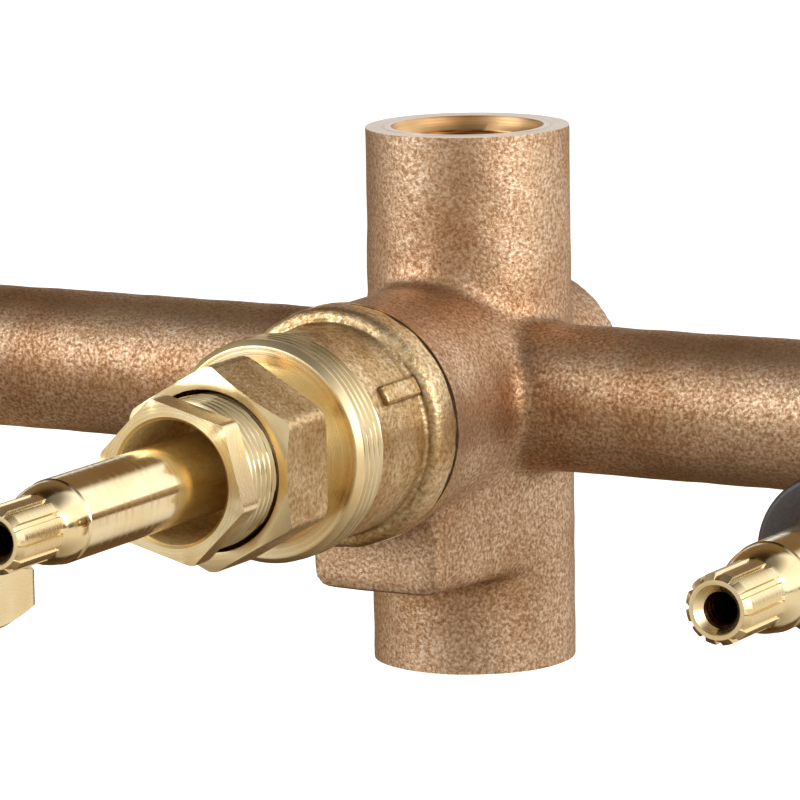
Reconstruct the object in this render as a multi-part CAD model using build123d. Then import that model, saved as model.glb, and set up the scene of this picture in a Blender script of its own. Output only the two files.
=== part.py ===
from build123d import *
import os
from math import acos, atan2, cos, hypot, pi, radians, sin, tan

# Three-handle bathtub and shower valve: one bronze casting that carries a hot, a diverter and a cold unit.
# The origin is the centre of the middle back boss, on the plane that the valve is strapped against.
# X runs along the bars from hot to cold, -Y points out of the wall along the stems, and +Z is up.
# A depth is measured from the back plane towards the stem tips, so y = -depth. Lengths are millimetres.

# Layout of the three units
HANDLE_SPACING = 101.6
PORT_DEPTH = 23.0
BAR_DEPTH = 28.7
FACE_DEPTH = 59.0

# Outside of the casting
BARREL_RADIUS = 16.5
BARREL_WALL = 2.9
BOSS_RADIUS = 14.1
BOSS_LENGTH = 17.0
BOSS_EDGE = 1.2
END_BOSS_BACK = 9.5
RIM_STEP = 1.0
RIM_WIDTH = 2.0
RIM_EDGE = 0.4
PORT_RADIUS = 14.9
PORT_TOP = 38.0
PORT_BOTTOM = -40.4
PORT_EDGE = 0.5
BAR_RADIUS = 10.7
BLOCK_HALF_WIDTH = 10.2
BLOCK_FRONT = 53.0
BLOCK_BOTTOM = -25.8
BLOCK_CORNER = 2.5
CAST_FILLET = 1.6

# Waterways inside the casting
PIPE_THREAD_RADIUS = 9.9
PIPE_THREAD_LENGTH = 15.0
PIPE_MOUTH_RADIUS = 11.0
WATERWAY_RADIUS = 8.5
BAR_BORE_RADIUS = 6.4
BACK_WALL = 4.0
BACK_CHAMBER_RADIUS = 9.4
WEB_BACK = 17.0
WEB_FRONT = 22.0
CHAMBER_WALL = 4.0
RISER_RADIUS = 6.0
DROP_HALF_WIDTH = 5.0
DROP_BACK_WALL = 3.0
SEAT_THREAD_RADIUS = 8.0
SOCKET_LENGTH = 13.0
SOCKET_STEP = 1.5

# Hexagons
HEX_SIDES = 6
NUT_CHAMFER_ANGLE = 30.0

# Fits between pieces
THREAD_CLEARANCE = 0.1
RUNNING_CLEARANCE = 0.1
LOOSE_CLEARANCE = 0.3
SEAT_CLEARANCE = 0.1

# Bonnet
GASKET_THICKNESS = 0.5
GASKET_INSET = 0.2
SPIGOT_LENGTH = 12.0
FLANGE_INSET = 0.4
FLANGE_THICKNESS = 5.0
FLANGE_EDGE = 1.6
COLLAR_RADIUS = 14.9
COLLAR_LENGTH = 13.7
RING_RADIUS = 15.7
RING_LENGTH = 6.0
RING_CHAMFER = 0.9
NECK_RADIUS = 12.2
NECK_LENGTH = 4.0
HEX_FLATS = 25.0
HEX_LENGTH = 10.8
HEX_TURN = 30.0
HEX_CORNER_CUT = 0.2
MOUTH_RELIEF_RADIUS = 11.0
MOUTH_RELIEF_DEPTH = 0.9
BOX_RADIUS = 10.6
BOX_DEPTH = 20.6
RIB_ANGLE = 28.0
RIB_WIDTH = 2.8
RIB_LENGTH = 9.5
RIB_HEIGHT = 0.9

# Gland nut and packing
PACKING_LENGTH = 5.0
PACKING_WASHER_THICKNESS = 1.5
GLAND_HEX_FLATS = 20.2
GLAND_HEX_LENGTH = 4.0
GLAND_HEX_TURN = -15.0
GLAND_THREAD_SHOWN = 5.5
GLAND_BORE_RADIUS = 8.5
GLAND_THROAT_LENGTH = 5.5
GLAND_MOUTH_CHAMFER = 0.45
GLAND_CORNER_CUT = 0.1

# Stem
STEM_RADIUS = 5.66
STEM_TIP_DEPTH = 152.4
SPLINE_RADIUS = 4.4
SPLINE_ROOT_RADIUS = 3.85
SPLINE_LENGTH = 9.8
SPLINE_TEETH = 12
SPLINE_GROOVE_WIDTH = 0.95
TIP_CHAMFER = 0.75
SHOULDER_LENGTH = 5.0
SCREW_HOLE_RADIUS = 2.1
SCREW_HOLE_DEPTH = 14.0
SCREW_HOLE_MOUTH_RADIUS = 3.1
DRILL_POINT_ANGLE = 118.0
STEM_THREAD_RADIUS = 8.0
STEM_THREAD_LENGTH = 14.0
STEM_NOSE_RADIUS = 6.2
STEM_NOSE_LENGTH = 20.2
STEM_LIFT = 6.25
STEM_STOP_GAP = 0.35
STEM_EDGE = 0.5

# Seat and its washer
SEAT_FLANGE_RADIUS = 9.4
SEAT_FLANGE_THICKNESS = 1.6
SEAT_THREAD_LENGTH = 5.5
SEAT_LIP_HEIGHT = 1.0
SEAT_LIP_INNER_RADIUS = 5.2
SEAT_LIP_OUTER_RADIUS = 6.6
SEAT_KEY_FLATS = 9.0
WASHER_RADIUS = 7.4
WASHER_THICKNESS = 4.0
HOLDER_RADIUS = 8.6
HOLDER_FLOOR = 3.0
HOLDER_RIM = 2.4
HOLDER_STUD_RADIUS = 3.0
HOLDER_STUD_LENGTH = 10.0
WASHER_SCREW_RADIUS = 2.0
WASHER_SCREW_LENGTH = 10.0
WASHER_SCREW_HEAD_RADIUS = 3.4
WASHER_SCREW_HEAD_HEIGHT = 1.4
WASHER_SCREW_SLOT_WIDTH = 0.8
WASHER_SCREW_SLOT_DEPTH = 0.6

# Stem guards on the hot and cold units
GUARD_RADIUS = 10.7
GUARD_LENGTH = 10.4
GUARD_EDGE = 0.8
GUARD_SPIGOT_LENGTH = 7.0

# Unions on the hot and cold inlets
UNION_THREAD_STEP = 1.5
UNION_NUT_WALL = 2.1
UNION_NUT_TURN = 30.0
UNION_NUT_HEIGHT = 9.5
UNION_NUT_GAP = 9.0
UNION_NUT_LIP = 2.4
UNION_NUT_CORNER_CUT = 0.8
UNION_WASHER_THICKNESS = 1.0
TAILPIECE_RADIUS = 12.4
TAILPIECE_FLANGE_RADIUS = 14.6
TAILPIECE_FLANGE_THICKNESS = 2.4
TAILPIECE_LENGTH = 21.0
TAILPIECE_EDGE = 0.5

# Sizes and places that follow from those above
RIM_RADIUS = BARREL_RADIUS + RIM_STEP
SPIGOT_RADIUS = BARREL_RADIUS - BARREL_WALL - THREAD_CLEARANCE
FRONT_CHAMBER_RADIUS = SPIGOT_RADIUS - SOCKET_STEP
FLANGE_RADIUS = RIM_RADIUS - FLANGE_INSET
GASKET_OUTER_RADIUS = FLANGE_RADIUS - GASKET_INSET
GASKET_FRONT = FACE_DEPTH + GASKET_THICKNESS
FLANGE_FRONT = GASKET_FRONT + FLANGE_THICKNESS
COLLAR_FRONT = FLANGE_FRONT + COLLAR_LENGTH
RING_FRONT = COLLAR_FRONT + RING_LENGTH
HEX_BACK = RING_FRONT + NECK_LENGTH
HEX_FRONT = HEX_BACK + HEX_LENGTH
BOX_BACK = HEX_FRONT - BOX_DEPTH
SPIGOT_BACK = GASKET_FRONT - SPIGOT_LENGTH
PACKING_FRONT = BOX_BACK + PACKING_LENGTH
GLAND_BACK = PACKING_FRONT + PACKING_WASHER_THICKNESS
GLAND_HEX_BACK = HEX_FRONT + GLAND_THREAD_SHOWN
GLAND_FRONT = GLAND_HEX_BACK + GLAND_HEX_LENGTH
SEAT_FACE = WEB_FRONT + SEAT_FLANGE_THICKNESS
SEAT_LIP = SEAT_FACE + SEAT_LIP_HEIGHT
WASHER_BACK = SEAT_LIP + SEAT_CLEARANCE
WASHER_FRONT = WASHER_BACK + WASHER_THICKNESS
HOLDER_FRONT = WASHER_FRONT + HOLDER_FLOOR
STEM_BACK = HOLDER_FRONT + RUNNING_CLEARANCE
STEM_THREAD_BACK = STEM_BACK + STEM_NOSE_LENGTH
STEM_THREAD_FRONT = STEM_THREAD_BACK + STEM_THREAD_LENGTH
THROAT_BACK = STEM_THREAD_FRONT + STEM_LIFT + STEM_STOP_GAP
THROAT_RADIUS = STEM_RADIUS + RUNNING_CLEARANCE
SPLINE_BACK = STEM_TIP_DEPTH - SPLINE_LENGTH
SHOULDER_BACK = SPLINE_BACK - SHOULDER_LENGTH
UNION_THREAD_RADIUS = PORT_RADIUS + UNION_THREAD_STEP
UNION_NUT_FLATS = 2 * (UNION_THREAD_RADIUS + UNION_NUT_WALL)
UNION_NUT_TOP = BLOCK_BOTTOM - UNION_NUT_GAP
UNION_NUT_BOTTOM = UNION_NUT_TOP - UNION_NUT_HEIGHT
UNION_LIP_TOP = UNION_NUT_BOTTOM + UNION_NUT_LIP
TAILPIECE_TOP = UNION_LIP_TOP + TAILPIECE_FLANGE_THICKNESS
INLET_END = TAILPIECE_TOP + UNION_WASHER_THICKNESS
TAILPIECE_END = UNION_NUT_BOTTOM - TAILPIECE_LENGTH

UNITS = {"hot": -HANDLE_SPACING, "diverter": 0.0, "cold": HANDLE_SPACING}
END_UNITS = ("hot", "cold")


def turned(*corners):
    """Solid turned about a stem axis, from (radius, depth) corners."""
    outline = Polyline(*[(radius, -depth) for radius, depth in corners], close=True)
    return revolve(make_face(outline), Axis.Y)


def sleeve(inner, outer, back, front):
    """Plain ring about a stem axis, between two depths."""
    return turned((inner, back), (outer, back), (outer, front), (inner, front))


def upright(radius, low, high, x=0.0, depth=PORT_DEPTH):
    """Vertical cylinder between two heights."""
    return Pos(x, -depth, (low + high) / 2) * Cylinder(radius, high - low)


def about_port(*corners):
    """Solid turned about a port's vertical axis, from (radius, height) corners."""
    outline = Plane.XZ * Polyline(*corners, close=True)
    return Pos(0, -PORT_DEPTH, 0) * revolve(make_face(outline), Axis.Z)


def lying(radius, left, right, depth=BAR_DEPTH):
    """Cylinder along the bars between two places on X."""
    return Pos((left + right) / 2, -depth, 0) * Rot(0, 90, 0) * Cylinder(radius, right - left)


def hexagon(flats, back, front, turn=0.0):
    """Hexagonal prism about a stem axis, with a corner towards +X at no turn."""
    outline = RegularPolygon(flats / 2, HEX_SIDES, major_radius=False, rotation=turn)
    return extrude(Plane.XZ.offset(back) * outline, front - back)


def corner_radius(flats):
    """Radius to the corners of a hexagon of that size across its flats."""
    return flats / 2 / cos(pi / HEX_SIDES)


def nut_outline(flats, low, high, cut):
    """Corners of the turned shape whose chamfered ends round off a hexagon."""
    corner = corner_radius(flats)
    face_radius = flats / 2 - cut
    rise = (corner - face_radius) * tan(radians(NUT_CHAMFER_ANGLE))
    return (
        (0, low),
        (face_radius, low),
        (corner, low + rise),
        (corner, high - rise),
        (face_radius, high),
        (0, high),
    )


def port_block(x):
    """Flat-fronted block under a barrel, with sides that run on to the lower port."""
    reach = BLOCK_FRONT - PORT_DEPTH
    span = hypot(BLOCK_HALF_WIDTH, reach)
    touch = atan2(-reach, BLOCK_HALF_WIDTH) + acos(PORT_RADIUS / span)
    side = (PORT_RADIUS * cos(touch), PORT_RADIUS * sin(touch))
    plan = Polyline(
        (-side[0], side[1]),
        (-BLOCK_HALF_WIDTH, -reach),
        (BLOCK_HALF_WIDTH, -reach),
        side,
        close=True,
    )
    block = extrude(make_face(plan), -BLOCK_BOTTOM)
    low_sides = block.faces().sort_by(Axis.Z)[0].edges().filter_by(Axis.X, reverse=True)
    block = fillet(low_sides, BLOCK_CORNER)
    return Pos(x, -PORT_DEPTH, BLOCK_BOTTOM) * block


def boss_back(unit):
    """Depth of a unit's back face: the middle boss stands on the wall and the end ones stop short of it."""
    return END_BOSS_BACK if unit in END_UNITS else 0.0


def barrel(unit):
    """Round outside of one unit, from its back boss to the rim that the bonnet sits on."""
    back = boss_back(unit)
    return turned(
        (0, back),
        (BOSS_RADIUS - BOSS_EDGE, back),
        (BOSS_RADIUS, back + BOSS_EDGE),
        (BOSS_RADIUS, BOSS_LENGTH),
        (BARREL_RADIUS, BOSS_LENGTH),
        (BARREL_RADIUS, FACE_DEPTH - RIM_WIDTH),
        (RIM_RADIUS - RIM_EDGE, FACE_DEPTH - RIM_WIDTH + RIM_EDGE),
        (RIM_RADIUS, FACE_DEPTH - RIM_EDGE),
        (RIM_RADIUS - RIM_EDGE, FACE_DEPTH),
        (0, FACE_DEPTH),
    )


def casting_outside():
    """Barrels, ports, blocks and bars of the casting, before its waterways are cored."""
    shape = lying(BAR_RADIUS, -HANDLE_SPACING, HANDLE_SPACING)
    for unit, x in UNITS.items():
        shape += Pos(x, 0, 0) * barrel(unit)
    creases = shape.edges().filter_by(GeomType.BSPLINE)
    shape = fillet(creases, CAST_FILLET)
    shape += about_port(
        (0, PORT_BOTTOM),
        (PORT_RADIUS - PORT_EDGE, PORT_BOTTOM),
        (PORT_RADIUS, PORT_BOTTOM + PORT_EDGE),
        (PORT_RADIUS, PORT_TOP - PORT_EDGE),
        (PORT_RADIUS - PORT_EDGE, PORT_TOP),
        (0, PORT_TOP),
    )
    for unit, x in UNITS.items():
        shape += port_block(x)
        if unit in END_UNITS:
            shape += upright(PORT_RADIUS, INLET_END, 0, x)
            shape += upright(UNION_THREAD_RADIUS, INLET_END, BLOCK_BOTTOM, x)
    return shape


def pipe_mouth(height, inwards):
    """Space of a tapped port: its plain thread wall and the countersink at its end."""
    countersink = PIPE_MOUTH_RADIUS - PIPE_THREAD_RADIUS
    return about_port(
        (0, height),
        (PIPE_MOUTH_RADIUS, height),
        (PIPE_THREAD_RADIUS, height + inwards * countersink),
        (PIPE_THREAD_RADIUS, height + inwards * PIPE_THREAD_LENGTH),
        (0, height + inwards * PIPE_THREAD_LENGTH),
    )


def waterways(unit, x):
    """Everything that is cored or machined out of one unit of the casting."""
    chamber_back = boss_back(unit) + BACK_WALL
    chambers = turned(
        (0, chamber_back),
        (BACK_CHAMBER_RADIUS, chamber_back),
        (BACK_CHAMBER_RADIUS, WEB_BACK),
        (SEAT_THREAD_RADIUS, WEB_BACK),
        (SEAT_THREAD_RADIUS, WEB_FRONT),
        (FRONT_CHAMBER_RADIUS, WEB_FRONT),
        (FRONT_CHAMBER_RADIUS, FACE_DEPTH - SOCKET_LENGTH),
        (SPIGOT_RADIUS + THREAD_CLEARANCE, FACE_DEPTH - SOCKET_LENGTH),
        (SPIGOT_RADIUS + THREAD_CLEARANCE, FACE_DEPTH),
        (0, FACE_DEPTH),
    )
    low_roof = -FRONT_CHAMBER_RADIUS - CHAMBER_WALL
    low_end = INLET_END if unit in END_UNITS else PORT_BOTTOM
    drop_back = PORT_DEPTH - PORT_RADIUS + DROP_BACK_WALL
    drop = Box(2 * DROP_HALF_WIDTH, WEB_BACK - drop_back, -low_roof + WATERWAY_RADIUS)
    drop = Pos(0, -(drop_back + WEB_BACK) / 2, (low_roof - WATERWAY_RADIUS) / 2) * drop
    space = chambers + upright(WATERWAY_RADIUS, low_end, low_roof) + drop
    if unit == "diverter":
        space += pipe_mouth(PORT_BOTTOM, 1)
        space += pipe_mouth(PORT_TOP, -1)
        space += upright(WATERWAY_RADIUS, -low_roof, PORT_TOP)
        space += upright(RISER_RADIUS, 0, -low_roof + RISER_RADIUS, 0, BAR_DEPTH)
    return Pos(x, 0, 0) * space


def valve_body():
    """The bronze casting with its bars and ports as one piece."""
    shape = casting_outside()
    for unit, x in UNITS.items():
        shape -= waterways(unit, x)
    shape -= lying(BAR_BORE_RADIUS, -HANDLE_SPACING, HANDLE_SPACING)
    return shape


def bonnet():
    """Brass bonnet: spigot, flange, cast collar, threaded ring, neck and hexagon, bored for the stem."""
    outside = turned(
        (0, SPIGOT_BACK),
        (SPIGOT_RADIUS - STEM_EDGE, SPIGOT_BACK),
        (SPIGOT_RADIUS, SPIGOT_BACK + STEM_EDGE),
        (SPIGOT_RADIUS, GASKET_FRONT),
        (FLANGE_RADIUS, GASKET_FRONT),
        (FLANGE_RADIUS, FLANGE_FRONT),
        (COLLAR_RADIUS, FLANGE_FRONT),
        (COLLAR_RADIUS, COLLAR_FRONT),
        (RING_RADIUS, COLLAR_FRONT),
        (RING_RADIUS, RING_FRONT - RING_CHAMFER),
        (RING_RADIUS - RING_CHAMFER, RING_FRONT),
        (NECK_RADIUS, RING_FRONT),
        (NECK_RADIUS, HEX_BACK),
        (0, HEX_BACK),
    )
    flange_rims = outside.edges().filter_by(GeomType.CIRCLE).group_by(SortBy.RADIUS)[-1]
    outside = fillet(flange_rims.sort_by(Axis.Y)[0], FLANGE_EDGE)
    head = hexagon(HEX_FLATS, HEX_BACK, HEX_FRONT, HEX_TURN)
    head &= turned(*nut_outline(HEX_FLATS, HEX_BACK, HEX_FRONT, HEX_CORNER_CUT))
    rib_reach = COLLAR_RADIUS + RIB_HEIGHT
    rib = Box(rib_reach - SPIGOT_RADIUS, RIB_LENGTH, RIB_WIDTH)
    rib = Pos((rib_reach + SPIGOT_RADIUS) / 2, -FLANGE_FRONT - RIB_LENGTH / 2, 0) * rib
    rib = Rot(0, -RIB_ANGLE, 0) * rib
    bore = turned(
        (0, SPIGOT_BACK),
        (STEM_THREAD_RADIUS + RUNNING_CLEARANCE, SPIGOT_BACK),
        (STEM_THREAD_RADIUS + RUNNING_CLEARANCE, STEM_THREAD_FRONT),
        (STEM_THREAD_RADIUS + LOOSE_CLEARANCE, STEM_THREAD_FRONT),
        (STEM_THREAD_RADIUS + LOOSE_CLEARANCE, THROAT_BACK),
        (THROAT_RADIUS, THROAT_BACK),
        (THROAT_RADIUS, BOX_BACK),
        (BOX_RADIUS, BOX_BACK),
        (BOX_RADIUS, HEX_FRONT - MOUTH_RELIEF_DEPTH),
        (MOUTH_RELIEF_RADIUS, HEX_FRONT - MOUTH_RELIEF_DEPTH),
        (MOUTH_RELIEF_RADIUS, HEX_FRONT),
        (0, HEX_FRONT),
    )
    return outside + head + rib - bore


def bonnet_gasket():
    """Thin dark ring clamped between the bonnet flange and the casting."""
    return sleeve(SPIGOT_RADIUS + THREAD_CLEARANCE, GASKET_OUTER_RADIUS, FACE_DEPTH, GASKET_FRONT)


def packing_ring():
    """Soft packing at the bottom of the bonnet's box, round the stem."""
    return sleeve(THROAT_RADIUS, BOX_RADIUS - THREAD_CLEARANCE, BOX_BACK, PACKING_FRONT)


def packing_washer():
    """Brass washer that the gland nut pushes against the packing."""
    return sleeve(STEM_RADIUS + LOOSE_CLEARANCE, BOX_RADIUS - THREAD_CLEARANCE, PACKING_FRONT, GLAND_BACK)


def gland_nut():
    """Brass gland nut: male thread in the bonnet, small hexagon, and a wide bore round the stem."""
    thread_radius = BOX_RADIUS - THREAD_CLEARANCE
    shank = turned(
        (0, GLAND_BACK),
        (thread_radius - STEM_EDGE, GLAND_BACK),
        (thread_radius, GLAND_BACK + STEM_EDGE),
        (thread_radius, GLAND_HEX_BACK),
        (0, GLAND_HEX_BACK),
    )
    head = hexagon(GLAND_HEX_FLATS, GLAND_HEX_BACK, GLAND_FRONT, GLAND_HEX_TURN)
    head &= turned(*nut_outline(GLAND_HEX_FLATS, GLAND_HEX_BACK, GLAND_FRONT, GLAND_CORNER_CUT))
    bore = turned(
        (0, GLAND_BACK),
        (STEM_RADIUS + LOOSE_CLEARANCE, GLAND_BACK),
        (STEM_RADIUS + LOOSE_CLEARANCE, GLAND_BACK + GLAND_THROAT_LENGTH),
        (GLAND_BORE_RADIUS, GLAND_BACK + GLAND_THROAT_LENGTH),
        (GLAND_BORE_RADIUS, GLAND_FRONT - GLAND_MOUTH_CHAMFER),
        (GLAND_BORE_RADIUS + GLAND_MOUTH_CHAMFER, GLAND_FRONT),
        (0, GLAND_FRONT),
    )
    return shank + head - bore


def stem():
    """Turned brass stem: bored nose, thread, shank, rounded shoulder and splined end with a screw hole."""
    shank = turned(
        (0, STEM_BACK),
        (STEM_NOSE_RADIUS - STEM_EDGE, STEM_BACK),
        (STEM_NOSE_RADIUS, STEM_BACK + STEM_EDGE),
        (STEM_NOSE_RADIUS, STEM_THREAD_BACK),
        (STEM_THREAD_RADIUS - STEM_EDGE, STEM_THREAD_BACK),
        (STEM_THREAD_RADIUS, STEM_THREAD_BACK + STEM_EDGE),
        (STEM_THREAD_RADIUS, STEM_THREAD_FRONT - STEM_EDGE),
        (STEM_THREAD_RADIUS - STEM_EDGE, STEM_THREAD_FRONT),
        (STEM_RADIUS, STEM_THREAD_FRONT),
        (STEM_RADIUS, SHOULDER_BACK),
        (0, SHOULDER_BACK),
    )
    dome_edge = TangentArc((STEM_RADIUS, -SHOULDER_BACK), (SPLINE_RADIUS, -SPLINE_BACK), tangent=(0, -1))
    dome_sides = Polyline(dome_edge @ 1, (0, -SPLINE_BACK), (0, -SHOULDER_BACK), dome_edge @ 0)
    dome = revolve(make_face(dome_edge + dome_sides), Axis.Y)
    section = Circle(SPLINE_RADIUS)
    groove_depth = SPLINE_RADIUS - SPLINE_ROOT_RADIUS
    groove = Rectangle(2 * groove_depth, SPLINE_GROOVE_WIDTH)
    section -= PolarLocations(SPLINE_RADIUS, SPLINE_TEETH) * groove
    spline = extrude(Plane.XZ.offset(SPLINE_BACK) * section, SPLINE_LENGTH)
    spline &= turned(
        (0, SPLINE_BACK),
        (SPLINE_RADIUS, SPLINE_BACK),
        (SPLINE_RADIUS, STEM_TIP_DEPTH - TIP_CHAMFER),
        (SPLINE_RADIUS - TIP_CHAMFER, STEM_TIP_DEPTH),
        (0, STEM_TIP_DEPTH),
    )
    drill_point = SCREW_HOLE_RADIUS / tan(radians(DRILL_POINT_ANGLE / 2))
    screw_hole = turned(
        (0, STEM_TIP_DEPTH),
        (SCREW_HOLE_MOUTH_RADIUS, STEM_TIP_DEPTH),
        (SCREW_HOLE_RADIUS, STEM_TIP_DEPTH - SCREW_HOLE_MOUTH_RADIUS + SCREW_HOLE_RADIUS),
        (SCREW_HOLE_RADIUS, STEM_TIP_DEPTH - SCREW_HOLE_DEPTH),
        (0, STEM_TIP_DEPTH - SCREW_HOLE_DEPTH - drill_point),
    )
    stud_hole = sleeve(0, HOLDER_STUD_RADIUS + RUNNING_CLEARANCE, STEM_BACK, STEM_BACK + HOLDER_STUD_LENGTH)
    return shank + dome + spline - screw_hole - stud_hole


def seat():
    """Renewable brass seat, screwed into the web with a hexagonal key hole through it."""
    shape = turned(
        (0, WEB_FRONT - SEAT_THREAD_LENGTH),
        (SEAT_THREAD_RADIUS - THREAD_CLEARANCE, WEB_FRONT - SEAT_THREAD_LENGTH),
        (SEAT_THREAD_RADIUS - THREAD_CLEARANCE, WEB_FRONT),
        (SEAT_FLANGE_RADIUS, WEB_FRONT),
        (SEAT_FLANGE_RADIUS, SEAT_FACE),
        (SEAT_LIP_OUTER_RADIUS, SEAT_FACE),
        (SEAT_LIP_OUTER_RADIUS, SEAT_LIP),
        (SEAT_LIP_INNER_RADIUS, SEAT_LIP),
        (SEAT_LIP_INNER_RADIUS, SEAT_FACE),
        (0, SEAT_FACE),
    )
    return shape - hexagon(SEAT_KEY_FLATS, WEB_FRONT - SEAT_THREAD_LENGTH, SEAT_FACE)


def seat_washer():
    """Rubber washer that closes on the seat's lip."""
    return sleeve(WASHER_SCREW_RADIUS + THREAD_CLEARANCE, WASHER_RADIUS, WASHER_BACK, WASHER_FRONT)


def disc_holder():
    """Brass cup that carries the washer and swivels on a stud in the stem's nose."""
    shape = turned(
        (0, WASHER_FRONT),
        (WASHER_RADIUS + THREAD_CLEARANCE, WASHER_FRONT),
        (WASHER_RADIUS + THREAD_CLEARANCE, WASHER_FRONT - HOLDER_RIM),
        (HOLDER_RADIUS, WASHER_FRONT - HOLDER_RIM),
        (HOLDER_RADIUS, HOLDER_FRONT - STEM_EDGE),
        (HOLDER_RADIUS - STEM_EDGE, HOLDER_FRONT),
        (HOLDER_STUD_RADIUS, HOLDER_FRONT),
        (HOLDER_STUD_RADIUS, HOLDER_FRONT + HOLDER_STUD_LENGTH - STEM_EDGE),
        (HOLDER_STUD_RADIUS - STEM_EDGE, HOLDER_FRONT + HOLDER_STUD_LENGTH),
        (0, HOLDER_FRONT + HOLDER_STUD_LENGTH),
    )
    screw_end = WASHER_BACK + WASHER_SCREW_LENGTH
    return shape - sleeve(0, WASHER_SCREW_RADIUS + THREAD_CLEARANCE, WASHER_FRONT, screw_end)


def washer_screw():
    """Brass slotted screw through the washer into the holder."""
    head_back = WASHER_BACK - WASHER_SCREW_HEAD_HEIGHT
    shape = turned(
        (0, head_back),
        (WASHER_SCREW_HEAD_RADIUS, head_back),
        (WASHER_SCREW_HEAD_RADIUS, WASHER_BACK),
        (WASHER_SCREW_RADIUS, WASHER_BACK),
        (WASHER_SCREW_RADIUS, WASHER_BACK + WASHER_SCREW_LENGTH),
        (0, WASHER_BACK + WASHER_SCREW_LENGTH),
    )
    slot = Box(2 * WASHER_SCREW_HEAD_RADIUS, 2 * WASHER_SCREW_SLOT_DEPTH, WASHER_SCREW_SLOT_WIDTH)
    return shape - Pos(0, -head_back, 0) * slot


def stem_guard():
    """Black bush in front of the gland nut, with a spigot in the nut's bore."""
    return turned(
        (STEM_RADIUS + LOOSE_CLEARANCE, GLAND_FRONT - GUARD_SPIGOT_LENGTH),
        (GLAND_BORE_RADIUS - THREAD_CLEARANCE, GLAND_FRONT - GUARD_SPIGOT_LENGTH),
        (GLAND_BORE_RADIUS - THREAD_CLEARANCE, GLAND_FRONT),
        (GUARD_RADIUS, GLAND_FRONT),
        (GUARD_RADIUS, GLAND_FRONT + GUARD_LENGTH - GUARD_EDGE),
        (GUARD_RADIUS - GUARD_EDGE, GLAND_FRONT + GUARD_LENGTH),
        (STEM_RADIUS + LOOSE_CLEARANCE, GLAND_FRONT + GUARD_LENGTH),
    )


def union_nut():
    """Brass hexagonal nut that draws the tailpiece up to the inlet."""
    outline = RegularPolygon(UNION_NUT_FLATS / 2, HEX_SIDES, major_radius=False, rotation=UNION_NUT_TURN)
    prism = Pos(0, -PORT_DEPTH, UNION_NUT_BOTTOM) * extrude(outline, UNION_NUT_TOP - UNION_NUT_BOTTOM)
    prism &= about_port(*nut_outline(UNION_NUT_FLATS, UNION_NUT_BOTTOM, UNION_NUT_TOP, UNION_NUT_CORNER_CUT))
    return prism - about_port(
        (0, UNION_NUT_BOTTOM),
        (TAILPIECE_RADIUS + THREAD_CLEARANCE, UNION_NUT_BOTTOM),
        (TAILPIECE_RADIUS + THREAD_CLEARANCE, UNION_LIP_TOP),
        (UNION_THREAD_RADIUS + THREAD_CLEARANCE, UNION_LIP_TOP),
        (UNION_THREAD_RADIUS + THREAD_CLEARANCE, UNION_NUT_TOP),
        (0, UNION_NUT_TOP),
    )


def union_washer():
    """Flat ring that seals the tailpiece against the end of the inlet."""
    return about_port(
        (WATERWAY_RADIUS, TAILPIECE_TOP),
        (TAILPIECE_FLANGE_RADIUS, TAILPIECE_TOP),
        (TAILPIECE_FLANGE_RADIUS, INLET_END),
        (WATERWAY_RADIUS, INLET_END),
    )


def tailpiece():
    """Flanged brass tail under the union nut, tapped for the supply pipe at its lower end."""
    shape = about_port(
        (WATERWAY_RADIUS, TAILPIECE_TOP),
        (TAILPIECE_FLANGE_RADIUS, TAILPIECE_TOP),
        (TAILPIECE_FLANGE_RADIUS, UNION_LIP_TOP),
        (TAILPIECE_RADIUS, UNION_LIP_TOP),
        (TAILPIECE_RADIUS, TAILPIECE_END + TAILPIECE_EDGE),
        (TAILPIECE_RADIUS - TAILPIECE_EDGE, TAILPIECE_END),
        (WATERWAY_RADIUS, TAILPIECE_END),
    )
    return shape - pipe_mouth(TAILPIECE_END, 1)


UNIT_PIECES = (
    bonnet,
    bonnet_gasket,
    packing_ring,
    packing_washer,
    gland_nut,
    stem,
    seat,
    seat_washer,
    disc_holder,
    washer_screw,
)
END_PIECES = (stem_guard, union_nut, union_washer, tailpiece)


def write_parts():
    """Writes the casting, then every piece of each unit at its place along the bars."""
    os.makedirs("parts", exist_ok=True)
    export_step(valve_body(), "parts/valve_body.step")
    for piece in UNIT_PIECES + END_PIECES:
        solid = piece()
        for unit, x in UNITS.items():
            if unit in END_UNITS or piece in UNIT_PIECES:
                export_step(Pos(x, 0, 0) * solid, f"parts/{unit}_{piece.__name__}.step")


write_parts()
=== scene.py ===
"""Looks of the three-handle bath and shower valve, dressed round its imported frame."""
import logging
import math
from dataclasses import dataclass
from enum import Enum
from typing import Callable, Mapping, Optional, Protocol, Sequence

import bmesh
import bpy
from mathutils import Matrix, Vector, noise


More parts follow.
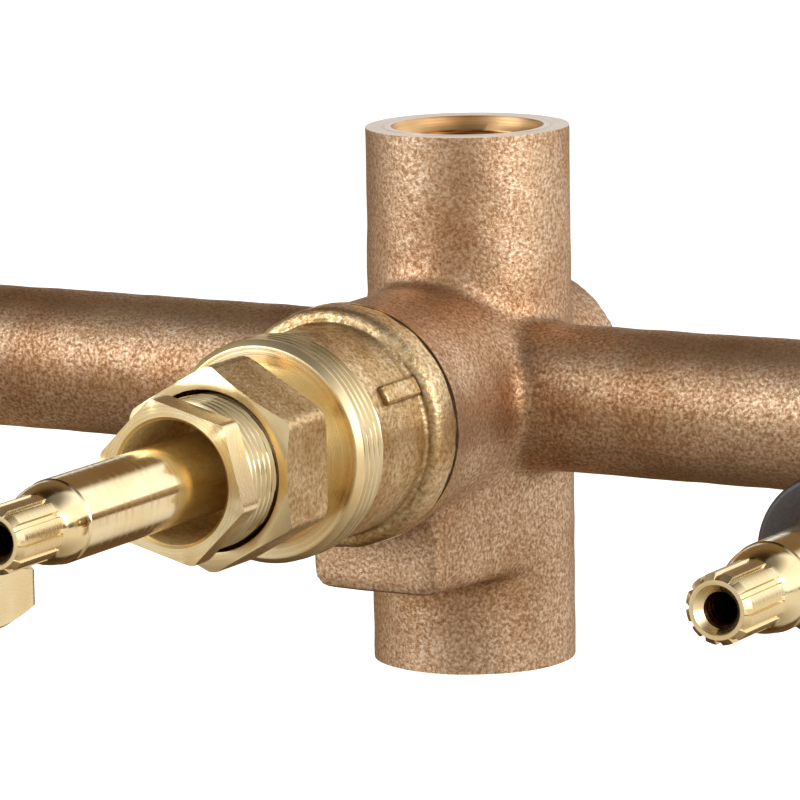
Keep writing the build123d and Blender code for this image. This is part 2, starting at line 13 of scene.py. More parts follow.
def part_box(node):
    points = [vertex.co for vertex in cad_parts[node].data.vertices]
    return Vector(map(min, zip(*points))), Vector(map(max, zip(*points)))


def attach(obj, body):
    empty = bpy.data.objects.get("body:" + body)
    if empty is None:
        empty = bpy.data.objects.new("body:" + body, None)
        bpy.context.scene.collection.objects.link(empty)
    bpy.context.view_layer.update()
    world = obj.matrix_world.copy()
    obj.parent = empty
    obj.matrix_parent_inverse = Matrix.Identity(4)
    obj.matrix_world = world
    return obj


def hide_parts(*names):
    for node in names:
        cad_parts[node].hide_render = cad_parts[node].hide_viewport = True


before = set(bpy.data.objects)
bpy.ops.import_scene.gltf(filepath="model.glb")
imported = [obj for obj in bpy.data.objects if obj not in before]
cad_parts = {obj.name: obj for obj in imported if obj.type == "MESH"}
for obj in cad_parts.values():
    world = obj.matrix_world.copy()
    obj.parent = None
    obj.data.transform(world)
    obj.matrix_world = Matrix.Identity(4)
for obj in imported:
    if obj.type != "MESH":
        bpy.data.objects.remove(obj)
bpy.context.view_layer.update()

LOG = logging.getLogger("bath_valve")
MM = 0.001
FULL_TURN = 2 * math.pi
MERGE_DISTANCE = 1e-6
SMOOTH_ANGLE = math.radians(38)
HEX_SIDES = 6
CORNER_SHARE = 1 / math.cos(math.pi / HEX_SIDES)
EDGE_SEGMENTS = 4
TURNING = "turning"
STEM_TO_WALL = Matrix.Rotation(math.pi / 2, 4, "X")
# Nearly all of a noise's values lie between these two.
NOISE_LOW = 0.3
NOISE_HIGH = 0.7
# Sockets of a Mix node for colours and of a Math node, whose names aren't unique.
MIX_SHARE = 0
MIX_FIRST = 6
MIX_SECOND = 7
MIX_RESULT = 2
MATH_FIRST = 0
MATH_SECOND = 1


class Unit(Enum):
    """The three units along the bars, named as their frame nodes are."""

    HOT = "hot"
    DIVERTER = "diverter"
    COLD = "cold"

    @property
    def x(self) -> float:
        """Place of the unit's stem axis along the bars, in metres."""
        low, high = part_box(f"{self.value}_stem")
        return (low.x + high.x) / 2

    def node(self, piece: str) -> str:
        """Name of one of this unit's frame nodes."""
        return f"{self.value}_{piece}"


END_UNITS = (Unit.HOT, Unit.COLD)


class Slot(Enum):
    """The record's material slots."""

    BRONZE = "cast_bronze"
    CAST_BRASS = "cast_brass"
    TURNED_BRASS = "turned_brass"
    NYLON = "black_nylon"
    RUBBER = "black_rubber"
    FIBRE = "fibre"
    PACKING = "graphite_packing"


# Colours and shader nodes


def linear(hex_colour: str) -> tuple[float, float, float, float]:
    """Turns an sRGB hex colour into linear values.

    Args:
        hex_colour: six hexadecimal digits.

    Returns:
        Linear red, green and blue, with an alpha of one.
    """
    values = [int(hex_colour[i:i + 2], 16) / 255 for i in (0, 2, 4)]
    curve = [v / 12.92 if v <= 0.04045 else ((v + 0.055) / 1.055) ** 2.4 for v in values]
    return (curve[0], curve[1], curve[2], 1.0)


def add_node(
    tree: bpy.types.NodeTree,
    kind: str,
    settings: Optional[Mapping[str | int, object]] = None,
    links: Optional[Mapping[str | int, bpy.types.NodeSocket]] = None,
) -> bpy.types.Node:
    """Adds one shader node with its settings and links.

    Args:
        tree: the material's or world's node tree.
        kind: the node's type.
        settings: values of the node's properties and of its unlinked sockets, by name or place.
        links: sockets of other nodes that feed this one's inputs, by name or place.

    Returns:
        The new node.
    """
    node = tree.nodes.new(kind)
    for name, value in (settings or {}).items():
        if isinstance(name, int) or name in node.inputs:
            node.inputs[name].default_value = value
        else:
            setattr(node, name, value)
    for name, socket in (links or {}).items():
        tree.links.new(socket, node.inputs[name])
    return node


def set_ramp(node: bpy.types.Node, stops: Sequence[tuple[float, str]]) -> None:
    """Gives a colour ramp its stops.

    Args:
        node: the colour ramp.
        stops: place and hex colour of each stop, in order.
    """
    elements = node.color_ramp.elements
    while len(elements) < len(stops):
        elements.new(1.0)
    for element, (place, hex_colour) in zip(elements, stops):
        element.position = place
        element.color = linear(hex_colour)


def per_metre(size_mm: float) -> float:
    """Texture scale whose pattern repeats about once in that many millimetres."""
    return 1 / (size_mm * MM)


def new_material(name: str) -> tuple[bpy.types.Material, bpy.types.NodeTree, bpy.types.Node]:
    """Starts a material.

    Args:
        name: the material's name.

    Returns:
        The material, its node tree and its surface shader.
    """
    made = bpy.data.materials.new(name)
    made.use_nodes = True
    return made, made.node_tree, made.node_tree.nodes["Principled BSDF"]


class Finish(Protocol):
    """Anything that can make a material."""

    @property
    def name(self) -> str:
        """Name of the material."""

    def material(self) -> bpy.types.Material:
        """Makes the material."""


@dataclass(frozen=True)
class CastFinish:
    """Sand-cast copper alloy, blasted clean: dull grains of random speckle, with painted shade (brown) in
    their pits, a painted glint on their tops and painted shade in the creases.
    """

    name: str
    pit_shade: str
    skin: str
    grain_glint: str
    stain: str
    grain_mm: float
    blotch_mm: float
    relief_mm: float
    roughness: float
    # Colour of the painted shade that darkens creases and recesses.
    crease_shade: str
    crease_mm: float = 3.0
    metallic: float = 1.0
    grain_contrast: float = 0.16
    grain_detail: float = 3.0
    grain_sharpness: float = 0.62
    blotch_detail: float = 2.0
    blotch_edges: tuple[float, float] = (0.42, 0.68)
    stain_share: float = 0.75
    crease_edges: tuple[float, float] = (0.35, 0.9)
    crease_samples: int = 8
    pit_dulling: float = 0.12
    grain_polish: float = 0.1

    def material(self) -> bpy.types.Material:
        """Makes the material.

        Returns:
            A metal whose colour, roughness and bump follow one field of grains.
        """
        made, tree, shader = new_material(self.name)
        shader.inputs["Metallic"].default_value = self.metallic
        place = add_node(tree, "ShaderNodeTexCoord").outputs["Object"]
        grain = add_node(
            tree,
            "ShaderNodeTexNoise",
            {
                "Scale": per_metre(self.grain_mm),
                "Detail": self.grain_detail,
                "Roughness": self.grain_sharpness,
            },
            {"Vector": place},
        ).outputs["Fac"]
        blotch = add_node(
            tree,
            "ShaderNodeTexNoise",
            {"Scale": per_metre(self.blotch_mm), "Detail": self.blotch_detail},
            {"Vector": place},
        ).outputs["Fac"]
        # Painted light: the colour ramp runs from the pit colour, painted shade in the pits, to the grain-top
        # colour, a painted glint on the tops, over the grain's random speckle.
        ramp = add_node(tree, "ShaderNodeValToRGB", {}, {"Fac": grain})
        spread = self.grain_contrast
        set_ramp(ramp, ((0.5 - spread, self.pit_shade), (0.5, self.skin), (0.5 + spread, self.grain_glint)))
        strength = add_node(
            tree,
            "ShaderNodeMapRange",
            {
                "From Min": self.blotch_edges[0],
                "From Max": self.blotch_edges[1],
                "To Max": self.stain_share,
            },
            {"Value": blotch},
        ).outputs["Result"]
        stained = add_node(
            tree,
            "ShaderNodeMix",
            {"data_type": "RGBA", "blend_type": "MULTIPLY", MIX_SECOND: linear(self.stain)},
            {MIX_SHARE: strength, MIX_FIRST: ramp.outputs["Color"]},
        ).outputs[MIX_RESULT]
        # Painted shade: an ambient-occlusion mask blends the colour towards the crease-shade colour wherever
        # the surface lies in a crease or recess.
        shelter = add_node(
            tree,
            "ShaderNodeAmbientOcclusion",
            {"samples": self.crease_samples, "only_local": True, "Distance": self.crease_mm * MM},
        ).outputs["AO"]
        open_air = add_node(
            tree,
            "ShaderNodeMapRange",
            {"From Min": self.crease_edges[0], "From Max": self.crease_edges[1]},
            {"Value": shelter},
        ).outputs["Result"]
        crease_shaded = add_node(
            tree,
            "ShaderNodeMix",
            {"data_type": "RGBA", MIX_FIRST: linear(self.crease_shade)},
            {MIX_SHARE: open_air, MIX_SECOND: stained},
        ).outputs[MIX_RESULT]
        tree.links.new(crease_shaded, shader.inputs["Base Color"])
        rough = add_node(
            tree,
            "ShaderNodeMapRange",
            {
                "From Min": NOISE_LOW,
                "From Max": NOISE_HIGH,
                "To Min": self.roughness + self.pit_dulling,
                "To Max": self.roughness - self.grain_polish,
            },
            {"Value": grain},
        ).outputs["Result"]
        tree.links.new(rough, shader.inputs["Roughness"])
        bump = add_node(
            tree,
            "ShaderNodeBump",
            {"Strength": 1.0, "Distance": self.relief_mm * MM},
            {"Height": grain},
        ).outputs["Normal"]
        tree.links.new(bump, shader.inputs["Normal"])
        return made


@dataclass(frozen=True)
class TurnedFinish:
    """Brass or bronze cut on a lathe: a mirror broken into fine rings by the tool's path."""

    name: str
    colour: str
    tint: str
    ring_mm: float
    relief_mm: float
    roughness: float
    detail: float = 2.0
    patch_mm: float = 9.0
    patch_edges: tuple[float, float] = (0.35, 0.65)
    ring_polish: float = 0.05
    ring_dulling: float = 0.08

    def material(self) -> bpy.types.Material:
        """Makes the material.

        Returns:
            A metal with rings that follow the turned piece's own outline.
        """
        made, tree, shader = new_material(self.name)
        shader.inputs["Metallic"].default_value = 1.0
        along = add_node(
            tree,
            "ShaderNodeAttribute",
            {"attribute_name": TURNING, "attribute_type": "GEOMETRY"},
        ).outputs["Fac"]
        ring = add_node(
            tree,
            "ShaderNodeTexNoise",
            {"noise_dimensions": "1D", "Scale": per_metre(self.ring_mm), "Detail": self.detail},
            {"W": along},
        ).outputs["Fac"]
        place = add_node(tree, "ShaderNodeTexCoord").outputs["Object"]
        patch = add_node(
            tree,
            "ShaderNodeTexNoise",
            {"Scale": per_metre(self.patch_mm), "Detail": self.detail},
            {"Vector": place},
        ).outputs["Fac"]
        ramp = add_node(tree, "ShaderNodeValToRGB", {}, {"Fac": patch})
        set_ramp(ramp, ((self.patch_edges[0], self.tint), (self.patch_edges[1], self.colour)))
        tree.links.new(ramp.outputs["Color"], shader.inputs["Base Color"])
        rough = add_node(
            tree,
            "ShaderNodeMapRange",
            {
                "From Min": NOISE_LOW,
                "From Max": NOISE_HIGH,
                "To Min": self.roughness - self.ring_polish,
                "To Max": self.roughness + self.ring_dulling,
            },
            {"Value": ring},
        ).outputs["Result"]
        tree.links.new(rough, shader.inputs["Roughness"])
        bump = add_node(
            tree,
            "ShaderNodeBump",
            {"Strength": 1.0, "Distance": self.relief_mm * MM},
            {"Height": ring},
        ).outputs["Normal"]
        tree.links.new(bump, shader.inputs["Normal"])
        return made


@dataclass(frozen=True)
class MouldedFinish:
    """Pressed or moulded soft material: one colour, a fine even tooth and no metal in it."""

    name: str
    colour: str
    fleck: str
    tooth_mm: float
    relief_mm: float
    roughness: float
    refraction: float
    tooth_detail: float = 3.0
    fleck_edges: tuple[float, float] = (0.4, 0.72)

    def material(self) -> bpy.types.Material:
        """Makes the material.

        Returns:
            A plain dielectric with a fine tooth.
        """
        made, tree, shader = new_material(self.name)
        shader.inputs["IOR"].default_value = self.refraction
        shader.inputs["Roughness"].default_value = self.roughness
        place = add_node(tree, "ShaderNodeTexCoord").outputs["Object"]
        tooth = add_node(
            tree,
            "ShaderNodeTexNoise",
            {"Scale": per_metre(self.tooth_mm), "Detail": self.tooth_detail},
            {"Vector": place},
        ).outputs["Fac"]
        ramp = add_node(tree, "ShaderNodeValToRGB", {}, {"Fac": tooth})
        set_ramp(ramp, ((self.fleck_edges[0], self.colour), (self.fleck_edges[1], self.fleck)))
        tree.links.new(ramp.outputs["Color"], shader.inputs["Base Color"])
        bump = add_node(
            tree,
            "ShaderNodeBump",
            {"Strength": 1.0, "Distance": self.relief_mm * MM},
            {"Height": tooth},
        ).outputs["Normal"]
        tree.links.new(bump, shader.inputs["Normal"])
        return made


# Red brass, sand-cast and grit-blasted: pinkish tan, with grains about 0.5 mm across whose painted glint on
# the tops and painted shade in the pits make the sparkle.
BLASTED_BRONZE = CastFinish(
    name="blasted_bronze_casting",
    pit_shade="A68260",
    skin="CDAB89",
    grain_glint="EAD6BE",
    stain="DCC6AE",
    grain_mm=0.5,
    blotch_mm=16.0,
    relief_mm=0.1,
    roughness=0.5,
    # The crease colour here is painted shade for the casting's creases.
    crease_shade="7A543C",
)
# Yellow brass as it left the sand: darker and greener than the machined metal, with a coarser skin.
ROUGH_BRASS = CastFinish(
    name="rough_cast_brass",
    pit_shade="B8996A",
    skin="E0C496",
    grain_glint="F6E4C0",
    stain="D6BE94",
    grain_mm=0.65,
    blotch_mm=9.0,
    relief_mm=0.14,
    roughness=0.42,
    # The crease colour here is painted shade for the bonnet's creases.
    crease_shade="5E4420",
)
# The gland nut's bore: drilled brass, dull enough to catch light from the mouth.
BORED_BRASS = CastFinish(
    name="drilled_brass",
    pit_shade="E0C080",
    skin="F2DA9E",
    grain_glint="FBEBC0",
    stain="EBCF92",
    grain_mm=0.7,
    blotch_mm=5.0,
    relief_mm=0.02,
    roughness=0.38,
    crease_shade="F2DA9E",
    metallic=0.5,
)
# Painted shade for the insides of bores and holes: dark red-brown brass put where there is only shade.
SHADED_BORE_BRASS = CastFinish(
    name="brass_bore_painted_shade",
    pit_shade="3A2016",
    skin="553222",
    grain_glint="7A5236",
    stain="8A6A54",
    grain_mm=0.6,
    blotch_mm=6.0,
    relief_mm=0.04,
    roughness=0.4,
    crease_shade="2A140E",
)
# Free-cutting brass off the lathe: pale, bright and faintly ringed.
POLISHED_BRASS = TurnedFinish(
    name="polished_turned_brass",
    colour="F8E7BE",
    tint="F0D9A4",
    ring_mm=0.8,
    relief_mm=0.0012,
    roughness=0.13,
)
# The same brass with the coarser marks of a thread-cutting tool.
CUT_BRASS = TurnedFinish(
    name="machined_brass",
    colour="F8E6BC",
    tint="EED5A0",
    ring_mm=0.35,
    relief_mm=0.012,
    roughness=0.27,
)
# The casting's machined faces: clean red brass, pinker than the nuts.
CUT_BRONZE = TurnedFinish(
    name="machined_bronze",
    colour="FBEBD4",
    tint="F4DCBC",
    ring_mm=0.4,
    relief_mm=0.008,
    roughness=0.16,
)
# The casting's port mouths and threads: the same metal, duller, and browner as painted shade where no light
# falls straight in.
SHADED_PORT_BRONZE = TurnedFinish(
    name="port_bronze_painted_shade",
    colour="DDB888",
    tint="B98A58",
    ring_mm=0.6,
    relief_mm=0.012,
    roughness=0.38,
)
# Moulded nylon: nearly black, with a soft satin shine.
BLACK_NYLON = MouldedFinish(
    name="moulded_black_nylon",
    colour="251B17",
    fleck="302724",
    tooth_mm=0.5,
    relief_mm=0.01,
    roughness=0.42,
    refraction=1.53,
)
# Hard rubber of the seat washers: matt black.
BLACK_RUBBER = MouldedFinish(
    name="moulded_black_rubber",
    colour="1A1A1A",
    fleck="262626",
    tooth_mm=0.4,
    relief_mm=0.01,
    roughness=0.7,
    refraction=1.52,
)
# Pressed fibre sheet: dark red-brown card.
PRESSED_FIBRE = MouldedFinish(
    name="pressed_fibre",
    colour="2E1C14",
    fleck="4A3226",
    tooth_mm=0.6,
    relief_mm=0.02,
    roughness=0.8,
    refraction=1.45,
)
# Graphite-loaded cord: dark grey with a greasy shine.
GRAPHITE_CORD = MouldedFinish(
    name="graphite_packing_cord",
    colour="242424",
    fleck="3C3C3C",
    tooth_mm=0.7,
    relief_mm=0.05,
    roughness=0.45,
    refraction=1.6,
)


class Palette:
    """Makes each finish's material once."""

    def __init__(self) -> None:
        """Starts with no material made."""
        self._made: dict[str, bpy.types.Material] = {}

    def of(self, finish: Finish) -> bpy.types.Material:
        """Gives the finish's material, made on first use."""
        if finish.name not in self._made:
            self._made[finish.name] = finish.material()
        return self._made[finish.name]

    def all_of(self, finishes: Sequence[Finish]) -> list[bpy.types.Material]:
        """Gives the materials of several finishes, in slot order."""
        return [self.of(finish) for finish in finishes]


# Turned shapes


class Section(Protocol):
    """A section that isn't round: it moves a turned point to its own outline."""

    def reshape(self, angle: float, radius: float, along: float) -> tuple[float, float]:
        """Gives the new radius and place along the axis of a point at that angle."""


@dataclass(frozen=True)
class Hexagon:
    """Hexagonal section whose end is rounded off by a turned chamfer."""

    flats: float
    face_radius: float
    corner: float
    turn: float
    lean: float
    chamfer: float = math.tan(math.radians(30))

    def reshape(self, angle: float, radius: float, along: float) -> tuple[float, float]:
        """Puts a point on the hexagon, set back where the chamfer cuts its corners.

        Args:
            angle: angle round the axis, in radians.
            radius: the turned point's radius, which the hexagon replaces.
            along: place of the hexagon's end face on the axis.

        Returns:
            Radius and place along the axis.
        """
        side = FULL_TURN / HEX_SIDES
        off_flat = (angle - math.radians(self.turn)) % side - side / 2
        reach = min(self.flats / 2 / math.cos(off_flat), self.corner)
        return reach, along - self.lean * max(0.0, reach - self.face_radius) * self.chamfer


@dataclass(frozen=True)
class Spline:
    """Round section with flat-bottomed grooves cut along it."""

    teeth: int
    root: float
    groove: float

    def reshape(self, angle: float, radius: float, along: float) -> tuple[float, float]:
        """Sinks a point that lies in a groove to the groove's root.

        Args:
            angle: angle round the axis, in radians.
            radius: the turned point's radius.
            along: place on the axis.

        Returns:
            Radius and place along the axis.
        """
        pitch = FULL_TURN / self.teeth
        off_groove = (angle + pitch / 2) % pitch - pitch / 2
        if abs(off_groove) * radius < self.groove / 2:
            return min(radius, self.root), along
        return radius, along


@dataclass(frozen=True)
class Thread:
    """Right-handed thread with narrow flats on its crests and roots."""

    crest: float
    height: float
    pitch: float
    crest_share: float = 0.16

    def reshape(self, angle: float, radius: float, along: float) -> tuple[float, float]:
        """Puts a point on the thread, inside the turned outline that it was cut from.

        Args:
            angle: angle round the axis, in radians.
            radius: the outline's radius there, which limits an outside thread.
            along: place on the axis.

        Returns:
            Radius and place along the axis.
        """
        phase = (along / self.pitch - angle / FULL_TURN) % 1.0
        flank = 0.5 - self.crest_share
        rise = min(1.0, max(0.0, (abs(phase - 0.5) - self.crest_share / 2) / flank))
        cut = self.crest - self.height * rise
        return (min(radius, cut) if self.height > 0 else max(radius, cut)), along


@dataclass(frozen=True)
class Row:
    """One corner of a turned outline, in millimetres."""

    radius: float
    along: float
    round_off: float = 0.0
    section: Optional[Section] = None


def straight(
    radius: float, back: float, front: float, step: float, section: Optional[Section] = None
) -> list[Row]:
    """Evenly spaced rows of one radius, for a wall that a section or a rough skin needs points on.

    Args:
        radius: radius of the wall.
        back: where the rows start along the axis.
        front: where they end.
        step: about how far apart they are.
        section: section of the rows, if not round.

    Returns:
        The rows, from back to front.
    """
    count = max(1, round(abs(front - back) / step))
    return [Row(radius, back + (front - back) * i / count, 0.0, section) for i in range(count + 1)]


def turned(rows: Sequence[Row], steps: int, closed: bool = True) -> bmesh.types.BMesh:
    """Spins an outline about Z and gives its rows their sections.

    Args:
        rows: the outline's corners, round the section if it is closed, or else from axis to axis.
        steps: faces round the axis.
        closed: whether the last corner joins the first.

    Returns:
        The closed mesh, in metres, with each point's place along the outline as its turning attribute.
    """
    bm = bmesh.new()
    tag = bm.verts.layers.int.new("row")
    points = []
    for index, row in enumerate(rows):
        point = bm.verts.new((row.radius * MM, 0, row.along * MM))
        point[tag] = index + 1 if row.section else 0
        points.append(point)
    for first, second in zip(points, points[1:]):
        bm.edges.new((first, second))
    if closed:
        bm.edges.new((points[-1], points[0]))
    for point, row in zip(points, rows):
        if row.round_off:
            bmesh.ops.bevel(
                bm,
                geom=[point],
                offset=row.round_off * MM,
                segments=EDGE_SEGMENTS,
                profile=0.5,
                affect="VERTICES",
                material=-1,
            )
    bmesh.ops.spin(
        bm,
        geom=bm.verts[:] + bm.edges[:],
        cent=(0, 0, 0),
        axis=(0, 0, 1),
        angle=FULL_TURN,
        steps=steps,
        use_merge=True,
    )
    for point in bm.verts:
        row = rows[point[tag] - 1] if point[tag] else None
        if row:
            angle = math.atan2(point.co.y, point.co.x)
            radius, along = row.section.reshape(angle, row.radius, row.along)
            point.co = (radius * MM * math.cos(angle), radius * MM * math.sin(angle), along * MM)
    bmesh.ops.remove_doubles(bm, verts=bm.verts, dist=MERGE_DISTANCE)
    bmesh.ops.recalc_face_normals(bm, faces=bm.faces)
    mark_turning(bm)
    return bm


def mark_turning(bm: bmesh.types.BMesh) -> None:
    """Stores each point's radius plus its place along Z, which runs on across faces and walls."""
    layer = bm.verts.layers.float.get(TURNING) or bm.verts.layers.float.new(TURNING)
    for point in bm.verts:
        point[layer] = math.hypot(point.co.x, point.co.y) + point.co.z


def roughen(bm: bmesh.types.BMesh, reach: Callable[[Vector], bool], wave_mm: float, height_mm: float) -> None:
    """Gives part of a mesh the slight waviness of a sand mould.

    Args:
        bm: the mesh.
        reach: tells whether a point is on the cast skin.
        wave_mm: size of the waves.
        height_mm: how far a point may move in or out.
    """
    bm.normal_update()
    for point in bm.verts:
        if reach(point.co):
            point.co += point.normal * noise.noise(point.co * per_metre(wave_mm)) * height_mm * MM


def paint(
    bm: bmesh.types.BMesh, finishes: Sequence[Finish], choose: Callable[[bmesh.types.BMFace], Finish]
) -> None:
    """Gives each face the slot of the finish that is chosen for it.

    Args:
        bm: the mesh.
        finishes: the piece's finishes, in slot order.
        choose: gives one of these finishes for a face.
    """
    for face in bm.faces:
        face.material_index = finishes.index(choose(face))


def middle(face: bmesh.types.BMFace) -> tuple[float, float]:
    """Radius and place along Z of a face's centre, in millimetres."""
    centre = face.calc_center_median()
    return math.hypot(*centre.xy) / MM, centre.z / MM


def onto_stem(bm: bmesh.types.BMesh, unit: Unit) -> None:
    """Lays a turned mesh on its unit's stem axis."""
    placing = Matrix.Translation((unit.x, 0, 0)) @ STEM_TO_WALL
    bmesh.ops.transform(bm, matrix=placing, verts=bm.verts)


def show(
    name: str,
    bm: bmesh.types.BMesh,
    materials: Sequence[bpy.types.Material],
    body: str,
    node: str,
) -> None:
    """Makes a finished mesh a piece of the scene that stands for one frame node.

    Args:
        name: the piece's name.
        bm: its mesh in the frame, which is used up.
        materials: its materials, in slot order.
        body: the body that it rides on.
        node: the frame node that it replaces.
    """
    mesh = bpy.data.meshes.new(name)
    bm.to_mesh(mesh)
    bm.free()
    for material in materials:
        mesh.materials.append(material)
    mesh.polygons.foreach_set("use_smooth", [True] * len(mesh.polygons))
    mesh.set_sharp_from_angle(angle=SMOOTH_ANGLE)
    piece = bpy.data.objects.new(name, mesh)
    bpy.context.scene.collection.objects.link(piece)
    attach(piece, body)
    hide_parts(node)
    LOG.info("%s: %d faces, rides on %s", name, len(mesh.polygons), body)


def evaluated(obj: bpy.types.Object) -> bmesh.types.BMesh:
    """Applies an object's modifiers, deletes the object and gives the mesh that is left.

    Args:
        obj: a working object with modifiers.

    Returns:
        The finished mesh.
    """
    bpy.context.view_layer.update()
    mesh = bpy.data.meshes.new_from_object(obj.evaluated_get(bpy.context.evaluated_depsgraph_get()))
    bm = bmesh.new()
    bm.from_mesh(mesh)
    bpy.data.meshes.remove(mesh)
    discard(obj)
    return bm


def mesh_object(name: str, bm: bmesh.types.BMesh) -> bpy.types.Object:
    """Puts a mesh, which is used up, on a new object in the scene."""
    mesh = bpy.data.meshes.new(name)
    bm.to_mesh(mesh)
    bm.free()
    obj = bpy.data.objects.new(name, mesh)
    bpy.context.scene.collection.objects.link(obj)
    return obj


def cut_off(bm: bmesh.types.BMesh, place: Vector, outwards: Vector) -> list[bmesh.types.BMEdge]:
    """Cuts away what lies beyond a plane.

    Args:
        bm: the mesh, changed in place.
        place: a point of the plane, in millimetres.
        outwards: the side that is cut away.

    Returns:
        The edges of the open cut.
    """
    cut = bmesh.ops.bisect_plane(
        bm,
        geom=bm.verts[:] + bm.edges[:] + bm.faces[:],
        dist=MERGE_DISTANCE,
        plane_co=place * MM,
        plane_no=outwards,
        clear_outer=True,
    )
    return [item for item in cut["geom_cut"] if isinstance(item, bmesh.types.BMEdge)]


def add_mesh(bm: bmesh.types.BMesh, other: bmesh.types.BMesh) -> None:
    """Adds a second mesh, which is used up, to a first one."""
    mesh = bpy.data.meshes.new("added")
    other.to_mesh(mesh)
    other.free()
    bm.from_mesh(mesh)
    bpy.data.meshes.remove(mesh)


def discard(obj: bpy.types.Object) -> None:
    """Deletes a working object and its mesh."""
    mesh = obj.data
    bpy.data.objects.remove(obj)
    bpy.data.meshes.remove(mesh)


# The sub-assemblies


@dataclass
class Casting:
    """The bronze body: a soft sand-cast skin with machined faces, tapped ports and threaded inlets."""

    palette: Palette
    port_depth: float = 23.0
    port_top: float = 38.0
    port_bottom: float = -40.4
    mouth_radius: float = 11.0
    mouth_lead: tuple[tuple[float, float], ...] = ((0.1, 0.0), (-0.1, 0.3), (-0.2, 0.9))
    countersink_slope: float = 1.8
    thread_radius: float = 9.9
    thread_length: float = 15.0
    thread_pitch: float = 1.814
    thread_height: float = 0.75
    thread_step: float = 0.16
    liner_wall: float = 12.4
    liner_overlap: float = 0.5
    face_depth: float = 59.0
    inlet_radius: float = 16.4
    inlet_top: float = -25.8
    inlet_end: float = -38.5
    inlet_bore: float = 8.5
    inlet_height: float = 0.8
    inlet_reach: float = 2.0
    inlet_overlap: float = 0.8
    inlet_gap: float = 0.2
    sleeve_gap: float = 0.3
    sleeve_edge: float = 0.2
    sleeve_lead: float = 0.5
    sleeve_runout: float = 1.0
    sleeve_relief: float = 0.8
    skin_voxel: float = 1.1
    soften_passes: int = 4
    soften_share: float = 0.5
    wave_mm: float = 5.0
    wave_height: float = 0.14
    cut_back: float = 1.0
    spare_length: float = 4.0
    face_lift: float = 0.02
    flat_from: float = 0.98
    steps: int = 96
    finishes: tuple[Finish, ...] = (BLASTED_BRONZE, CUT_BRONZE, SHADED_PORT_BRONZE)

    @property
    def machined_planes(self) -> tuple[tuple[Vector, Vector], ...]:
        """Place and outward direction of each machined end of the casting."""
        return (
            (Vector((0, 0, self.port_top)), Vector((0, 0, 1))),
            (Vector((0, 0, self.port_bottom)), Vector((0, 0, -1))),
            (Vector((0, -self.face_depth, 0)), Vector((0, -1, 0))),
        )

    def cast_skin(self) -> bmesh.types.BMesh:
        """Makes the soft outside from the frame's own solid, with cleanly cut ends.

        Each machined end is first drawn out, so that softening rounds only the spare length, which is then
        cut off at the true plane.

        Returns:
            A closed mesh whose machined faces have their own finish.
        """
        bm = bmesh.new()
        bm.from_mesh(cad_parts["valve_body"].data)
        bmesh.ops.remove_doubles(bm, verts=bm.verts, dist=MERGE_DISTANCE)
        for place, outwards in self.machined_planes:
            rims = cut_off(bm, place - outwards * self.cut_back, outwards)
            grown = bmesh.ops.extrude_edge_only(bm, edges=rims)["geom"]
            tips = [item for item in grown if isinstance(item, bmesh.types.BMVert)]
            ends = [item for item in grown if isinstance(item, bmesh.types.BMEdge)]
            bmesh.ops.translate(bm, vec=outwards * self.spare_length * MM, verts=tips)
            bmesh.ops.triangle_fill(bm, edges=ends, use_beauty=True, normal=outwards)
        skin = mesh_object("skin", bm)
        remesh = skin.modifiers.new("skin", "REMESH")
        remesh.mode = "VOXEL"
        remesh.voxel_size = self.skin_voxel * MM
        bm = evaluated(skin)
        for _ in range(self.soften_passes):
            bmesh.ops.smooth_vert(
                bm,
                verts=bm.verts,
                factor=self.soften_share,
                use_axis_x=True,
                use_axis_y=True,
                use_axis_z=True,
            )
        roughen(bm, lambda point: True, self.wave_mm, self.wave_height)
        self.make_room(bm)
        for place, outwards in self.machined_planes:
            rims = cut_off(bm, place - outwards * self.face_lift, outwards)
            cap = bmesh.ops.triangle_fill(bm, edges=rims, use_beauty=True, normal=outwards)["geom"]
            for item in cap:
                if isinstance(item, bmesh.types.BMFace):
                    item.material_index = self.finishes.index(CUT_BRONZE)
        return bm

    def make_room(self, bm: bmesh.types.BMesh) -> None:
        """Widens the skin's port bores for their liners and thins its inlets for their threads.

        The skin is also kept in front of the wall plane.

        Args:
            bm: the skin's mesh, changed in place.
        """
        axes = {unit: Vector((unit.x, -self.port_depth * MM)) for unit in Unit}
        half_way = (self.port_top + self.port_bottom) / 2
        for point in bm.verts:
            point.co.y = min(point.co.y, 0.0)
            height = point.co.z / MM
            for unit, axis in axes.items():
                offset = point.co.xy - axis
                radius = offset.length / MM
                if unit in END_UNITS:
                    below = height < self.inlet_top - self.inlet_overlap
                    inside = below and radius < self.inlet_radius + self.inlet_reach
                    wanted = min(radius, self.inlet_radius - self.inlet_height - self.inlet_gap)
                else:
                    outer = abs(height - half_way) > self.port_top - self.thread_length
                    inside = outer and radius < self.liner_wall
                    wanted = self.liner_wall - self.liner_overlap
                if inside and radius > 0:
                    point.co.xy = axis + offset * (wanted / radius)

    def port_liner(self, end: float, inwards: float) -> bmesh.types.BMesh:
        """Machined end of a port: its countersunk mouth and pipe thread.

        Args:
            end: height of the port's end face.
            inwards: one where the port runs up from its end, minus one where it runs down.

        Returns:
            The liner's mesh in the frame.
        """
        thread = Thread(self.thread_radius, -self.thread_height, self.thread_pitch)
        deep = end + inwards * self.thread_length
        throat = end + inwards * (self.mouth_radius - self.thread_radius) * self.countersink_slope
        root = self.thread_radius - self.thread_height
        rows = [
            Row(self.liner_wall, deep),
            Row(self.liner_wall, end),
            *[Row(self.mouth_radius + out, end + inwards * depth) for out, depth in self.mouth_lead],
            *straight(root, throat, deep, self.thread_step, thread),
        ]
        bm = turned(rows, self.steps)
        bmesh.ops.translate(bm, vec=(0, -self.port_depth * MM, 0), verts=bm.verts)
        paint(bm, self.finishes, self.finish_in_port)
        return bm

